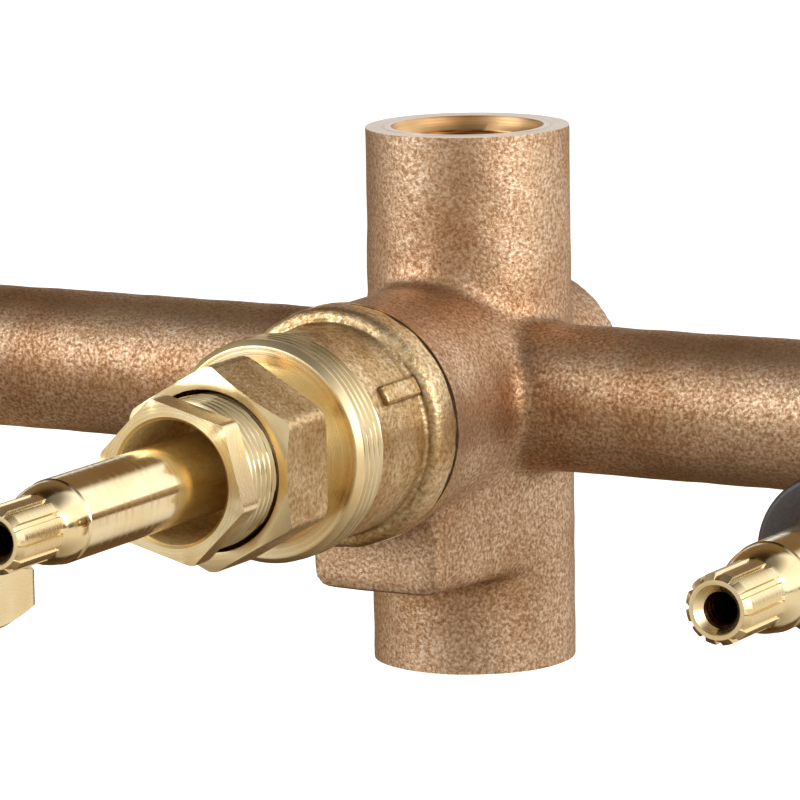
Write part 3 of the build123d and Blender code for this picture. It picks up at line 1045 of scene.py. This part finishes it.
    def finish_in_port(self, face: bmesh.types.BMFace) -> Finish:
        """Tells a port's flat rim from its mouth and thread."""
        # The mouth and thread get the browner finish, which is painted shade for the bore.
        return CUT_BRONZE if abs(face.normal.z) > self.flat_from else SHADED_PORT_BRONZE

    def inlet_thread(self, x: float) -> bmesh.types.BMesh:
        """Outside thread of an inlet, which the union nut is screwed on.

        Args:
            x: place of the inlet's axis along the bars, in metres.

        Returns:
            The threaded sleeve's mesh in the frame.
        """
        thread = Thread(self.inlet_radius, self.inlet_height, self.thread_pitch)
        low = self.inlet_end
        high = self.inlet_top - self.sleeve_gap
        root = self.inlet_radius - self.inlet_height
        cut_from, cut_to = low + self.sleeve_lead, high - self.sleeve_runout
        rows = [
            Row(self.inlet_bore, low),
            Row(root, low, self.sleeve_edge),
            *straight(self.inlet_radius, cut_from, cut_to, self.thread_step, thread),
            Row(root, high - self.sleeve_relief),
            Row(root, high),
            Row(self.inlet_bore, high),
        ]
        bm = turned(rows, self.steps)
        bmesh.ops.translate(bm, vec=(x, -self.port_depth * MM, 0), verts=bm.verts)
        paint(bm, self.finishes, lambda face: CUT_BRONZE)
        return bm

    def build(self) -> None:
        """Joins the skin with its machined pieces and shows the casting."""
        bm = self.cast_skin()
        add_mesh(bm, self.port_liner(self.port_top, -1.0))
        add_mesh(bm, self.port_liner(self.port_bottom, 1.0))
        for unit in END_UNITS:
            add_mesh(bm, self.inlet_thread(unit.x))
        materials = self.palette.all_of(self.finishes)
        show("bronze_casting", bm, materials, "body", "valve_body")


@dataclass
class Bonnet:
    """Cast brass bonnet with a machined thread ring and a machined hexagon face."""

    palette: Palette
    unit: Unit
    spigot_radius: float = 13.5
    spigot_back: float = 47.5
    spigot_edge: float = 0.5
    gasket_front: float = 59.5
    flange_radius: float = 17.1
    flange_front: float = 64.5
    flange_back_edge: float = 0.3
    flange_edge: float = 1.6
    collar_radius: float = 14.9
    collar_front: float = 78.2
    collar_fillet: float = 1.1
    collar_start: float = 1.5
    collar_step: float = 0.6
    ring_radius: float = 15.7
    ring_front: float = 84.2
    ring_chamfer: float = 0.9
    ring_edge: float = 0.15
    ring_pitch: float = 1.27
    ring_thread_height: float = 0.55
    ring_rows_a_turn: int = 14
    ring_runout: float = 0.6
    lead_cut: float = 0.1
    lead_length: float = 0.3
    neck_radius: float = 12.2
    hex_flats: float = 25.0
    hex_back: float = 88.2
    hex_front: float = 99.0
    hex_turn: float = 30.0
    hex_cut: float = 0.2
    corner_cut: float = 0.3
    back_chamfer: float = 0.6
    front_land: float = 0.3
    mouth_radius: float = 11.15
    mouth_depth: float = 3.0
    mouth_edge: float = 0.1
    mouth_lip: float = 0.3
    box_radius: float = 10.6
    box_back: float = 78.4
    throat_radius: float = 5.76
    throat_back: float = 72.6
    bore_radius: float = 8.1
    rib_angle: float = 28.0
    rib_width: float = 2.8
    rib_length: float = 9.5
    rib_height: float = 0.9
    rib_root: float = 0.5
    rib_edge: float = 0.45
    wave_mm: float = 2.4
    wave_height: float = 0.16
    chamfer_rise: float = 0.3
    chamfer_reach: float = 2.5
    bore_margin: float = 0.01
    thread_margin: float = 0.02
    hex_margin: float = 0.05
    flange_margin: float = 0.1
    steps: int = 144
    finishes: tuple[Finish, ...] = (ROUGH_BRASS, CUT_BRASS, SHADED_BORE_BRASS)

    def outline(self) -> list[Row]:
        """Corners of the bonnet's section, round its outside and back through its bore.

        Returns:
            The rows of the turned outline.
        """
        face = self.hex_flats / 2 - self.hex_cut
        corner = self.hex_flats / 2 * CORNER_SHARE - self.corner_cut
        hex_back = Hexagon(self.hex_flats, corner - self.back_chamfer, corner, self.hex_turn, -1.0)
        hex_front = Hexagon(self.hex_flats, face + self.front_land, corner, self.hex_turn, 1.0)
        thread = Thread(self.ring_radius, self.ring_thread_height, self.ring_pitch)
        thread_step = self.ring_pitch / self.ring_rows_a_turn
        collar_back = self.flange_front + self.collar_start
        lead = self.ring_front - self.ring_chamfer
        lead_radius = self.ring_radius - self.lead_cut
        shelf = self.hex_front - self.mouth_depth
        return [
            Row(self.spigot_radius, self.spigot_back, self.spigot_edge),
            Row(self.spigot_radius, self.gasket_front),
            Row(self.flange_radius, self.gasket_front, self.flange_back_edge),
            Row(self.flange_radius, self.flange_front, self.flange_edge),
            Row(self.collar_radius, self.flange_front, self.collar_fillet),
            *straight(self.collar_radius, collar_back, self.collar_front, self.collar_step),
            *straight(self.ring_radius, self.collar_front, lead - self.ring_runout, thread_step, thread),
            Row(lead_radius, lead - self.lead_length),
            Row(lead_radius, lead),
            Row(self.ring_radius - self.ring_chamfer, self.ring_front, self.ring_edge),
            Row(self.neck_radius, self.ring_front),
            Row(self.neck_radius, self.hex_back),
            Row(face, self.hex_back),
            Row(self.hex_flats / 2, self.hex_back, 0.0, hex_back),
            Row(self.hex_flats / 2, self.hex_front, 0.0, hex_front),
            Row(face, self.hex_front),
            Row(self.mouth_radius, self.hex_front, self.mouth_edge),
            Row(self.mouth_radius, shelf),
            Row(self.box_radius, shelf),
            Row(self.box_radius, self.box_back),
            Row(self.throat_radius, self.box_back),
            Row(self.throat_radius, self.throat_back),
            Row(self.bore_radius, self.throat_back),
            Row(self.bore_radius, self.spigot_back),
        ]

    def finish_of(self, face: bmesh.types.BMFace) -> Finish:
        """Tells cast, machined and painted-shade faces apart, in the turned frame."""
        radius, along = middle(face)
        # Painted shade: the mouth's wall and the bore behind it get the dark bore finish.
        if radius < self.mouth_radius + self.bore_margin and along < self.hex_front - self.mouth_lip:
            return SHADED_BORE_BRASS
        in_front = along > self.hex_front - self.chamfer_reach
        if (
            along < self.gasket_front + self.flange_margin
            or self.collar_front + self.thread_margin < along < self.hex_back + self.hex_margin
            or (in_front and face.normal.z > self.chamfer_rise)
        ):
            return CUT_BRASS
        return ROUGH_BRASS

    def rib(self) -> bmesh.types.BMesh:
        """Raised cast rib along the collar, in the turned frame."""
        bm = bmesh.new()
        bmesh.ops.create_cube(bm, size=1.0)
        sizes = (2 * (self.rib_height + self.rib_root), self.rib_width, self.rib_length)
        bmesh.ops.scale(bm, vec=Vector(sizes) * MM, verts=bm.verts)
        bmesh.ops.bevel(
            bm,
            geom=bm.edges[:],
            offset=self.rib_edge * MM,
            segments=3,
            profile=0.5,
            affect="EDGES",
            material=-1,
        )
        place = Vector((self.collar_radius - self.rib_root, 0, self.flange_front + self.rib_length / 2))
        bmesh.ops.translate(bm, vec=place * MM, verts=bm.verts)
        turn = Matrix.Rotation(math.radians(self.rib_angle), 4, "Z")
        bmesh.ops.transform(bm, matrix=turn, verts=bm.verts)
        return bm

    def build(self) -> None:
        """Turns the bonnet, adds its rib and shows it in its unit."""
        bm = turned(self.outline(), self.steps)
        cast_back, cast_front = self.gasket_front * MM, self.collar_front * MM
        roughen(bm, lambda point: cast_back < point.z < cast_front, self.wave_mm, self.wave_height)
        bm.normal_update()
        paint(bm, self.finishes, self.finish_of)
        add_mesh(bm, self.rib())
        onto_stem(bm, self.unit)
        materials = self.palette.all_of(self.finishes)
        node = self.unit.node("bonnet")
        show(self.unit.node("cast_bonnet"), bm, materials, "body", node)


@dataclass
class GlandNut:
    """Machined gland nut: a fine outside thread, a thin hexagon and a wide smooth bore."""

    palette: Palette
    unit: Unit
    back: float = 84.9
    hex_back: float = 104.5
    front: float = 108.5
    thread_radius: float = 10.5
    thread_pitch: float = 1.27
    thread_height: float = 0.6
    thread_lead: float = 0.6
    thread_runout: float = 0.5
    thread_relief: float = 0.3
    thread_rows_a_turn: int = 12
    hex_flats: float = 20.2
    hex_turn: float = -15.0
    hex_cut: float = 0.1
    corner_cut: float = 0.12
    corner_chamfer: float = 0.4
    bore_radius: float = 8.5
    mouth_chamfer: float = 0.45
    throat_radius: float = 5.96
    throat_front: float = 90.4
    bore_margin: float = 0.1
    steps: int = 144
    finishes: tuple[Finish, ...] = (CUT_BRASS, BORED_BRASS, SHADED_BORE_BRASS)

    def outline(self) -> list[Row]:
        """Corners of the nut's section, round its outside and back through its bore.

        Returns:
            The rows of the turned outline.
        """
        face = self.hex_flats / 2 - self.hex_cut
        corner = self.hex_flats / 2 * CORNER_SHARE - self.corner_cut
        full = corner - self.corner_chamfer
        hex_back = Hexagon(self.hex_flats, full, corner, self.hex_turn, -1.0)
        hex_front = Hexagon(self.hex_flats, full, corner, self.hex_turn, 1.0)
        thread = Thread(self.thread_radius, self.thread_height, self.thread_pitch)
        thread_step = self.thread_pitch / self.thread_rows_a_turn
        cut_from, cut_to = self.back + self.thread_lead, self.hex_back - self.thread_runout
        root = self.thread_radius - self.thread_height
        return [
            Row(root, self.back),
            *straight(self.thread_radius, cut_from, cut_to, thread_step, thread),
            Row(root, self.hex_back - self.thread_relief),
            Row(root, self.hex_back),
            Row(face, self.hex_back),
            Row(self.hex_flats / 2, self.hex_back, 0.0, hex_back),
            Row(self.hex_flats / 2, self.front, 0.0, hex_front),
            Row(face, self.front),
            Row(self.bore_radius + self.mouth_chamfer, self.front),
            Row(self.bore_radius, self.front - self.mouth_chamfer),
            Row(self.bore_radius, self.throat_front),
            Row(self.throat_radius, self.throat_front),
            Row(self.throat_radius, self.back),
        ]

    def finish_of(self, face: bmesh.types.BMFace) -> Finish:
        """Tells machined, drilled and painted-shade faces apart, in the turned frame."""
        radius, _ = middle(face)
        # Painted shade: the narrow throat gets the dark bore finish.
        if radius < self.throat_radius + self.bore_margin:
            return SHADED_BORE_BRASS
        return BORED_BRASS if radius < self.bore_radius + self.bore_margin else CUT_BRASS

    def build(self) -> None:
        """Turns the nut and shows it in its unit."""
        bm = turned(self.outline(), self.steps)
        paint(bm, self.finishes, self.finish_of)
        onto_stem(bm, self.unit)
        materials = self.palette.all_of(self.finishes)
        node = self.unit.node("gland_nut")
        show(self.unit.node("gland"), bm, materials, "body", node)


@dataclass
class ValveStem:
    """Turned stem: lifting thread, polished shank, rounded shoulder and splined, tapped end."""

    palette: Palette
    unit: Unit
    back: float = 31.8
    nose_radius: float = 6.2
    nose_edge: float = 0.5
    stud_hole_radius: float = 3.1
    stud_hole_end: float = 41.8
    thread_back: float = 52.0
    thread_front: float = 66.0
    thread_radius: float = 8.0
    thread_height: float = 1.1
    thread_pitch: float = 2.5
    thread_lead: float = 0.4
    thread_step: float = 0.2
    shank_radius: float = 5.66
    shank_start: float = 1.0
    shank_step: float = 12.0
    shoulder_back: float = 137.6
    shoulder_step: float = 0.16
    dome_rows: int = 10
    dome_start: float = 0.04
    dome_power: float = 2.2
    spline_back: float = 142.6
    spline_lead: float = 0.35
    spline_radius: float = 4.4
    spline_root: float = 4.0
    spline_groove: float = 0.8
    teeth: int = 12
    tip: float = 152.4
    tip_chamfer: float = 0.75
    hole_mouth: float = 3.1
    hole_radius: float = 2.1
    hole_depth: float = 14.0
    hole_point: float = 0.6
    hole_pitch: float = 1.06
    hole_thread_height: float = 0.32
    hole_step: float = 0.12
    hole_margin: float = 0.4
    bright_mouth: float = 0.9
    steps: int = 192
    finishes: tuple[Finish, ...] = (POLISHED_BRASS, CUT_BRASS, SHADED_BORE_BRASS)

    def shoulder(self) -> list[Row]:
        """Rows of the dome between the shank and the splines.

        Returns:
            The rows, from the shank to the splines.
        """
        length = self.spline_back - self.shoulder_back
        start = self.shank_radius - self.shoulder_step
        drop = start - self.spline_radius
        rows = []
        for i in range(self.dome_rows + 1):
            share = i / self.dome_rows
            along = self.dome_start + (1 - self.dome_start) * share
            rows.append(Row(start - drop * share**self.dome_power, self.shoulder_back + length * along))
        return rows

    def outline(self) -> list[Row]:
        """Corners of the stem's section, from the stud hole's end to the screw hole's.

        Returns:
            The rows of the turned outline.
        """
        lift = Thread(self.thread_radius, self.thread_height, self.thread_pitch)
        lift_from, lift_to = self.thread_back + self.thread_lead, self.thread_front - self.thread_lead
        lift_root = self.thread_radius - self.thread_height
        spline = Spline(self.teeth, self.spline_root, self.spline_groove)
        tapped = Thread(self.hole_radius, -self.hole_thread_height, self.hole_pitch)
        tapped_root = self.hole_radius - self.hole_thread_height
        throat = self.tip - (self.hole_mouth - self.hole_radius)
        deep = self.tip - self.hole_depth
        shank_back = self.thread_front + self.shank_start
        return [
            Row(0.0, self.stud_hole_end),
            Row(self.stud_hole_radius, self.stud_hole_end),
            Row(self.stud_hole_radius, self.back),
            Row(self.nose_radius, self.back, self.nose_edge),
            Row(self.nose_radius, self.thread_back),
            Row(lift_root, self.thread_back),
            *straight(self.thread_radius, lift_from, lift_to, self.thread_step, lift),
            Row(lift_root, self.thread_front),
            Row(self.shank_radius, self.thread_front),
            *straight(self.shank_radius, shank_back, self.shoulder_back, self.shank_step),
            *self.shoulder(),
            Row(self.spline_radius, self.spline_back + self.spline_lead, 0.0, spline),
            Row(self.spline_radius, self.tip - self.tip_chamfer, 0.0, spline),
            Row(self.spline_radius - self.tip_chamfer, self.tip),
            Row(self.hole_mouth, self.tip),
            *straight(tapped_root, throat, deep, self.hole_step, tapped),
            Row(0.0, deep - self.hole_radius * self.hole_point),
        ]

    def finish_of(self, face: bmesh.types.BMFace) -> Finish:
        """Tells polished, cut and painted-shade faces apart, in the turned frame."""
        radius, along = middle(face)
        # Painted shade: the stud hole and the screw hole get the dark bore finish, all but the screw hole's
        # bright mouth.
        if along < self.spline_back:
            on_shank = along > self.stud_hole_end and radius > self.hole_mouth
            return POLISHED_BRASS if on_shank else SHADED_BORE_BRASS
        in_hole = radius < self.hole_radius + self.hole_margin and along < self.tip - self.bright_mouth
        return SHADED_BORE_BRASS if in_hole else CUT_BRASS

    def build(self) -> None:
        """Turns the stem and shows it on its own body."""
        bm = turned(self.outline(), self.steps, closed=False)
        paint(bm, self.finishes, self.finish_of)
        onto_stem(bm, self.unit)
        materials = self.palette.all_of(self.finishes)
        body = self.unit.node("stem")
        show(self.unit.node("turned_stem"), bm, materials, body, body)


@dataclass
class StemGuard:
    """Moulded black bush round an end unit's stem."""

    palette: Palette
    unit: Unit
    bore_radius: float = 5.96
    bore_edge: float = 0.2
    spigot_radius: float = 8.4
    spigot_back: float = 101.5
    back: float = 108.5
    back_edge: float = 0.3
    front: float = 118.9
    radius: float = 10.7
    edge: float = 0.8
    mouth_flare: float = 0.5
    mouth_depth: float = 0.6
    mouth_edge: float = 0.3
    steps: int = 96

    def build(self) -> None:
        """Turns the guard and shows it in its unit."""
        rows = (
            Row(self.bore_radius, self.spigot_back, self.bore_edge),
            Row(self.spigot_radius, self.spigot_back, self.back_edge),
            Row(self.spigot_radius, self.back),
            Row(self.radius, self.back, self.back_edge),
            Row(self.radius, self.front, self.edge),
            Row(self.bore_radius + self.mouth_flare, self.front, self.mouth_edge),
            Row(self.bore_radius, self.front - self.mouth_depth),
        )
        bm = turned(rows, self.steps)
        onto_stem(bm, self.unit)
        materials = self.palette.all_of((BLACK_NYLON,))
        node = self.unit.node("stem_guard")
        show(self.unit.node("black_guard"), bm, materials, "body", node)


@dataclass
class InletUnion:
    """Union nut and tailpiece under an end unit."""

    palette: Palette
    unit: Unit
    port_depth: float = 23.0
    nut_top: float = -34.8
    nut_bottom: float = -44.3
    nut_flats: float = 37.0
    nut_turn: float = 30.0
    nut_cut: float = 0.8
    nut_corner_cut: float = 0.25
    nut_bore: float = 16.5
    nut_clearance: float = 0.1
    nut_steps: int = 144
    lip_top: float = -41.9
    bore_edge: float = 0.3
    face_edge: float = 0.2
    tail_radius: float = 12.4
    tail_flange_radius: float = 14.6
    tail_top: float = -39.5
    tail_end: float = -65.3
    tail_edge: float = 0.5
    waterway_radius: float = 8.5
    mouth_radius: float = 11.0
    mouth_edge: float = 0.15
    thread_radius: float = 9.9
    thread_length: float = 15.0
    thread_pitch: float = 1.814
    thread_height: float = 0.75
    thread_step: float = 0.16
    steps: int = 96

    def fit(self, name: str, bm: bmesh.types.BMesh, piece: str) -> None:
        """Puts a turned piece under its unit and shows it.

        Args:
            name: the shown piece's name in its unit.
            bm: its mesh, turned about Z, which is used up.
            piece: the unit's frame node that it stands for.
        """
        bmesh.ops.translate(bm, vec=(self.unit.x, -self.port_depth * MM, 0), verts=bm.verts)
        materials = self.palette.all_of((CUT_BRASS,))
        show(self.unit.node(name), bm, materials, "body", self.unit.node(piece))

    def build_nut(self) -> None:
        """Makes the hexagonal union nut."""
        face = self.nut_flats / 2 - self.nut_cut
        corner = self.nut_flats / 2 * CORNER_SHARE - self.nut_corner_cut
        low = Hexagon(self.nut_flats, face, corner, self.nut_turn, -1.0)
        high = Hexagon(self.nut_flats, face, corner, self.nut_turn, 1.0)
        lip = self.tail_radius + self.nut_clearance
        rows = (
            Row(lip, self.nut_bottom, self.bore_edge),
            Row(face, self.nut_bottom, self.face_edge),
            Row(self.nut_flats / 2, self.nut_bottom, 0.0, low),
            Row(self.nut_flats / 2, self.nut_top, 0.0, high),
            Row(face, self.nut_top, self.face_edge),
            Row(self.nut_bore, self.nut_top, self.bore_edge),
            Row(self.nut_bore, self.lip_top),
            Row(lip, self.lip_top),
        )
        self.fit("inlet_nut", turned(rows, self.nut_steps), "union_nut")

    def build_tail(self) -> None:
        """Makes the tailpiece with its pipe thread."""
        thread = Thread(self.thread_radius, -self.thread_height, self.thread_pitch)
        root = self.thread_radius - self.thread_height
        throat = self.tail_end + self.mouth_radius - self.thread_radius
        deep = self.tail_end + self.thread_length
        rows = [
            Row(self.waterway_radius, self.tail_top),
            Row(self.tail_flange_radius, self.tail_top, self.bore_edge),
            Row(self.tail_flange_radius, self.lip_top),
            Row(self.tail_radius, self.lip_top),
            Row(self.tail_radius, self.tail_end, self.tail_edge),
            Row(self.mouth_radius, self.tail_end, self.mouth_edge),
            *straight(root, throat, deep, self.thread_step, thread),
            Row(self.waterway_radius, deep),
        ]
        self.fit("inlet_tail", turned(rows, self.steps), "tailpiece")


@dataclass
class HiddenPieces:
    """Washers, packing and seats inside a unit, which keep their own solids and get their finishes."""

    palette: Palette
    unit: Unit

    def dress(self) -> None:
        """Gives each inner node of the unit its material."""
        finishes: dict[str, Finish] = {
            "bonnet_gasket": PRESSED_FIBRE,
            "packing_ring": GRAPHITE_CORD,
            "packing_washer": CUT_BRASS,
            "seat": CUT_BRASS,
            "seat_washer": BLACK_RUBBER,
            "disc_holder": CUT_BRASS,
            "washer_screw": CUT_BRASS,
            "union_washer": PRESSED_FIBRE,
        }
        for piece, finish in finishes.items():
            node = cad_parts.get(self.unit.node(piece))
            if node is None:
                continue
            node.data.materials.clear()
            node.data.materials.append(self.palette.of(finish))
            LOG.info("%s: dressed in %s", node.name, finish.name)


@dataclass(frozen=True)
class Softbox:
    """One square softbox, in metres and watts."""

    name: str
    place: tuple[float, float, float]
    width: float
    power: float

    def stand(self, aim: Vector) -> None:
        """Puts the softbox in the scene.

        Args:
            aim: the point that it faces.
        """
        data = bpy.data.lights.new(self.name, "AREA")
        data.shape = "RECTANGLE"
        data.size = self.width
        data.size_y = self.width
        data.energy = self.power
        light = bpy.data.objects.new(self.name, data)
        light.location = self.place
        light.rotation_euler = (Vector(self.place) - aim).to_track_quat("Z", "Y").to_euler()
        bpy.context.scene.collection.objects.link(light)


@dataclass
class Studio:
    """Pale floor, soft lights and the photograph's camera.

    The walls' stops are angles round the valve from straight in front, the others are elevations.
    """

    azimuth: float = 28.823
    elevation: float = 9.896
    roll: float = -0.989
    view_centre: tuple[float, float, float] = (-9.0, -28.3, -2.3)
    distance: float = 843.9
    lens: float = 259.63
    sensor: float = 36.0
    floor_height: float = -140.0
    floor_size: float = 6000.0
    paper_roughness: float = 0.9
    paper_glow: float = 0.8
    softboxes: tuple[Softbox, ...] = (
        Softbox("left_softbox", (-0.75, -0.85, 0.35), 0.7, 5.0),
        Softbox("right_softbox", (1.15, -0.25, 0.3), 0.7, 6.0),
    )
    softbox_aim: tuple[float, float, float] = (0.0, -0.05, 0.0)
    wall_light: float = 1.5
    wall_stops: tuple[tuple[float, str], ...] = (
        (-178, "6E583E"),
        (-92, "6E583E"),
        (-72, "DADADA"),
        (-22, "DADADA"),
        (-6, "B6B0A8"),
        (38, "B6B0A8"),
        (56, "FAFAFA"),
        (168, "FAFAFA"),
        (178, "6E583E"),
    )
    strip_stops: tuple[tuple[float, str], ...] = (
        (3, "000000"),
        (6, "C8C8C8"),
        (12, "C8C8C8"),
        (14, "000000"),
    )
    height_stops: tuple[tuple[float, str], ...] = (
        (-62, "8C8276"),
        (-24, "D0C8BE"),
        (-5, "D2CCC4"),
        (-1, "6A6258"),
        (3, "FFFFFF"),
        (38, "F0F0F0"),
        (58, "7A746E"),
        (80, "5C5854"),
    )

    def add_floor(self) -> None:
        """Lays the pale floor under the valve."""
        bm = bmesh.new()
        bmesh.ops.create_grid(bm, x_segments=1, y_segments=1, size=self.floor_size / 2 * MM)
        bmesh.ops.translate(bm, vec=(0, 0, self.floor_height * MM), verts=bm.verts)
        floor = mesh_object("floor", bm)
        paper, _, shader = new_material("white_paper")
        shader.inputs["Base Color"].default_value = linear("F6F6F5")
        shader.inputs["Roughness"].default_value = self.paper_roughness
        shader.inputs["Emission Color"].default_value = linear("FFFFFF")
        shader.inputs["Emission Strength"].default_value = self.paper_glow
        floor.data.materials.append(paper)
        floor.visible_glossy = False

    @staticmethod
    def by_height(stops: Sequence[tuple[float, str]]) -> list[tuple[float, str]]:
        """Moves stops given by elevation to a ramp that runs from straight down to straight up."""
        return [(0.5 + math.sin(math.radians(degrees)) / 2, colour) for degrees, colour in stops]

    def add_world(self) -> None:
        """Surrounds the valve with two white walls, a dark gap between them and a dark ceiling.

        The left wall stands in front, the right one runs on behind the valve, and the back left is dark. The
        gap is seen as a darker band down the middle of each port, and the dark ceiling along the bars. A low
        bright strip all round is what the port's flat rim reflects.
        """
        world = bpy.data.worlds.new("studio")
        world.use_nodes = True
        bpy.context.scene.world = world
        tree = world.node_tree
        direction = add_node(tree, "ShaderNodeTexCoord").outputs["Generated"]
        split = add_node(tree, "ShaderNodeSeparateXYZ", {}, {"Vector": direction}).outputs
        to_front = add_node(
            tree,
            "ShaderNodeMath",
            {"operation": "MULTIPLY", MATH_SECOND: -1.0},
            {MATH_FIRST: split["Y"]},
        ).outputs["Value"]
        angle = add_node(
            tree, "ShaderNodeMath", {"operation": "ARCTAN2"}, {MATH_FIRST: split["X"], MATH_SECOND: to_front}
        ).outputs["Value"]
        round_wall = add_node(
            tree, "ShaderNodeMapRange", {"From Min": -math.pi, "From Max": math.pi}, {"Value": angle}
        ).outputs["Result"]
        up_wall = add_node(
            tree, "ShaderNodeMapRange", {"From Min": -1.0, "From Max": 1.0}, {"Value": split["Z"]}
        ).outputs["Result"]
        walls = add_node(tree, "ShaderNodeValToRGB", {}, {"Fac": round_wall})
        set_ramp(walls, [(0.5 + degrees / 360, colour) for degrees, colour in self.wall_stops])
        heights = add_node(tree, "ShaderNodeValToRGB", {}, {"Fac": up_wall})
        set_ramp(heights, self.by_height(self.height_stops))
        strip = add_node(tree, "ShaderNodeValToRGB", {}, {"Fac": up_wall})
        set_ramp(strip, self.by_height(self.strip_stops))
        both = add_node(
            tree,
            "ShaderNodeMix",
            {"data_type": "RGBA", "blend_type": "MULTIPLY", MIX_SHARE: 1.0},
            {MIX_FIRST: walls.outputs["Color"], MIX_SECOND: heights.outputs["Color"]},
        ).outputs[MIX_RESULT]
        lit = add_node(
            tree,
            "ShaderNodeMix",
            {"data_type": "RGBA", "blend_type": "LIGHTEN", MIX_SHARE: 1.0},
            {MIX_FIRST: both, MIX_SECOND: strip.outputs["Color"]},
        ).outputs[MIX_RESULT]
        background = tree.nodes["Background"]
        tree.links.new(lit, background.inputs["Color"])
        background.inputs["Strength"].default_value = self.wall_light

    def add_camera(self) -> None:
        """Stands the camera where the photograph was taken from."""
        turn, rise = math.radians(self.azimuth), math.radians(self.elevation)
        backward = Vector((math.sin(turn) * math.cos(rise), -math.cos(turn) * math.cos(rise), math.sin(rise)))
        right = (-backward).cross(Vector((0, 0, 1))).normalized()
        upward = right.cross(-backward)
        level = Matrix((right, upward, backward)).transposed()
        facing = level @ Matrix.Rotation(math.radians(self.roll), 3, "Z")
        data = bpy.data.cameras.new("camera")
        data.lens = self.lens
        data.sensor_width = self.sensor
        camera = bpy.data.objects.new("camera", data)
        place = Vector(self.view_centre) * MM + backward * self.distance * MM
        camera.matrix_world = Matrix.Translation(place) @ facing.to_4x4()
        bpy.context.scene.collection.objects.link(camera)
        bpy.context.scene.camera = camera

    def build(self) -> None:
        """Sets the whole studio up."""
        self.add_floor()
        self.add_world()
        for softbox in self.softboxes:
            softbox.stand(Vector(self.softbox_aim))
        self.add_camera()
        bpy.context.scene.view_settings.view_transform = "Standard"


def main() -> None:
    """Builds the valve piece by piece, then its studio."""
    logging.basicConfig(level=logging.INFO, format="%(name)s: %(message)s")
    palette = Palette()
    Casting(palette).build()
    for unit in Unit:
        Bonnet(palette, unit).build()
        GlandNut(palette, unit).build()
        ValveStem(palette, unit).build()
        HiddenPieces(palette, unit).dress()
    for unit in END_UNITS:
        StemGuard(palette, unit).build()
        union = InletUnion(palette, unit)
        union.build_nut()
        union.build_tail()
    Studio().build()


if __name__ == "__main__":
    main()
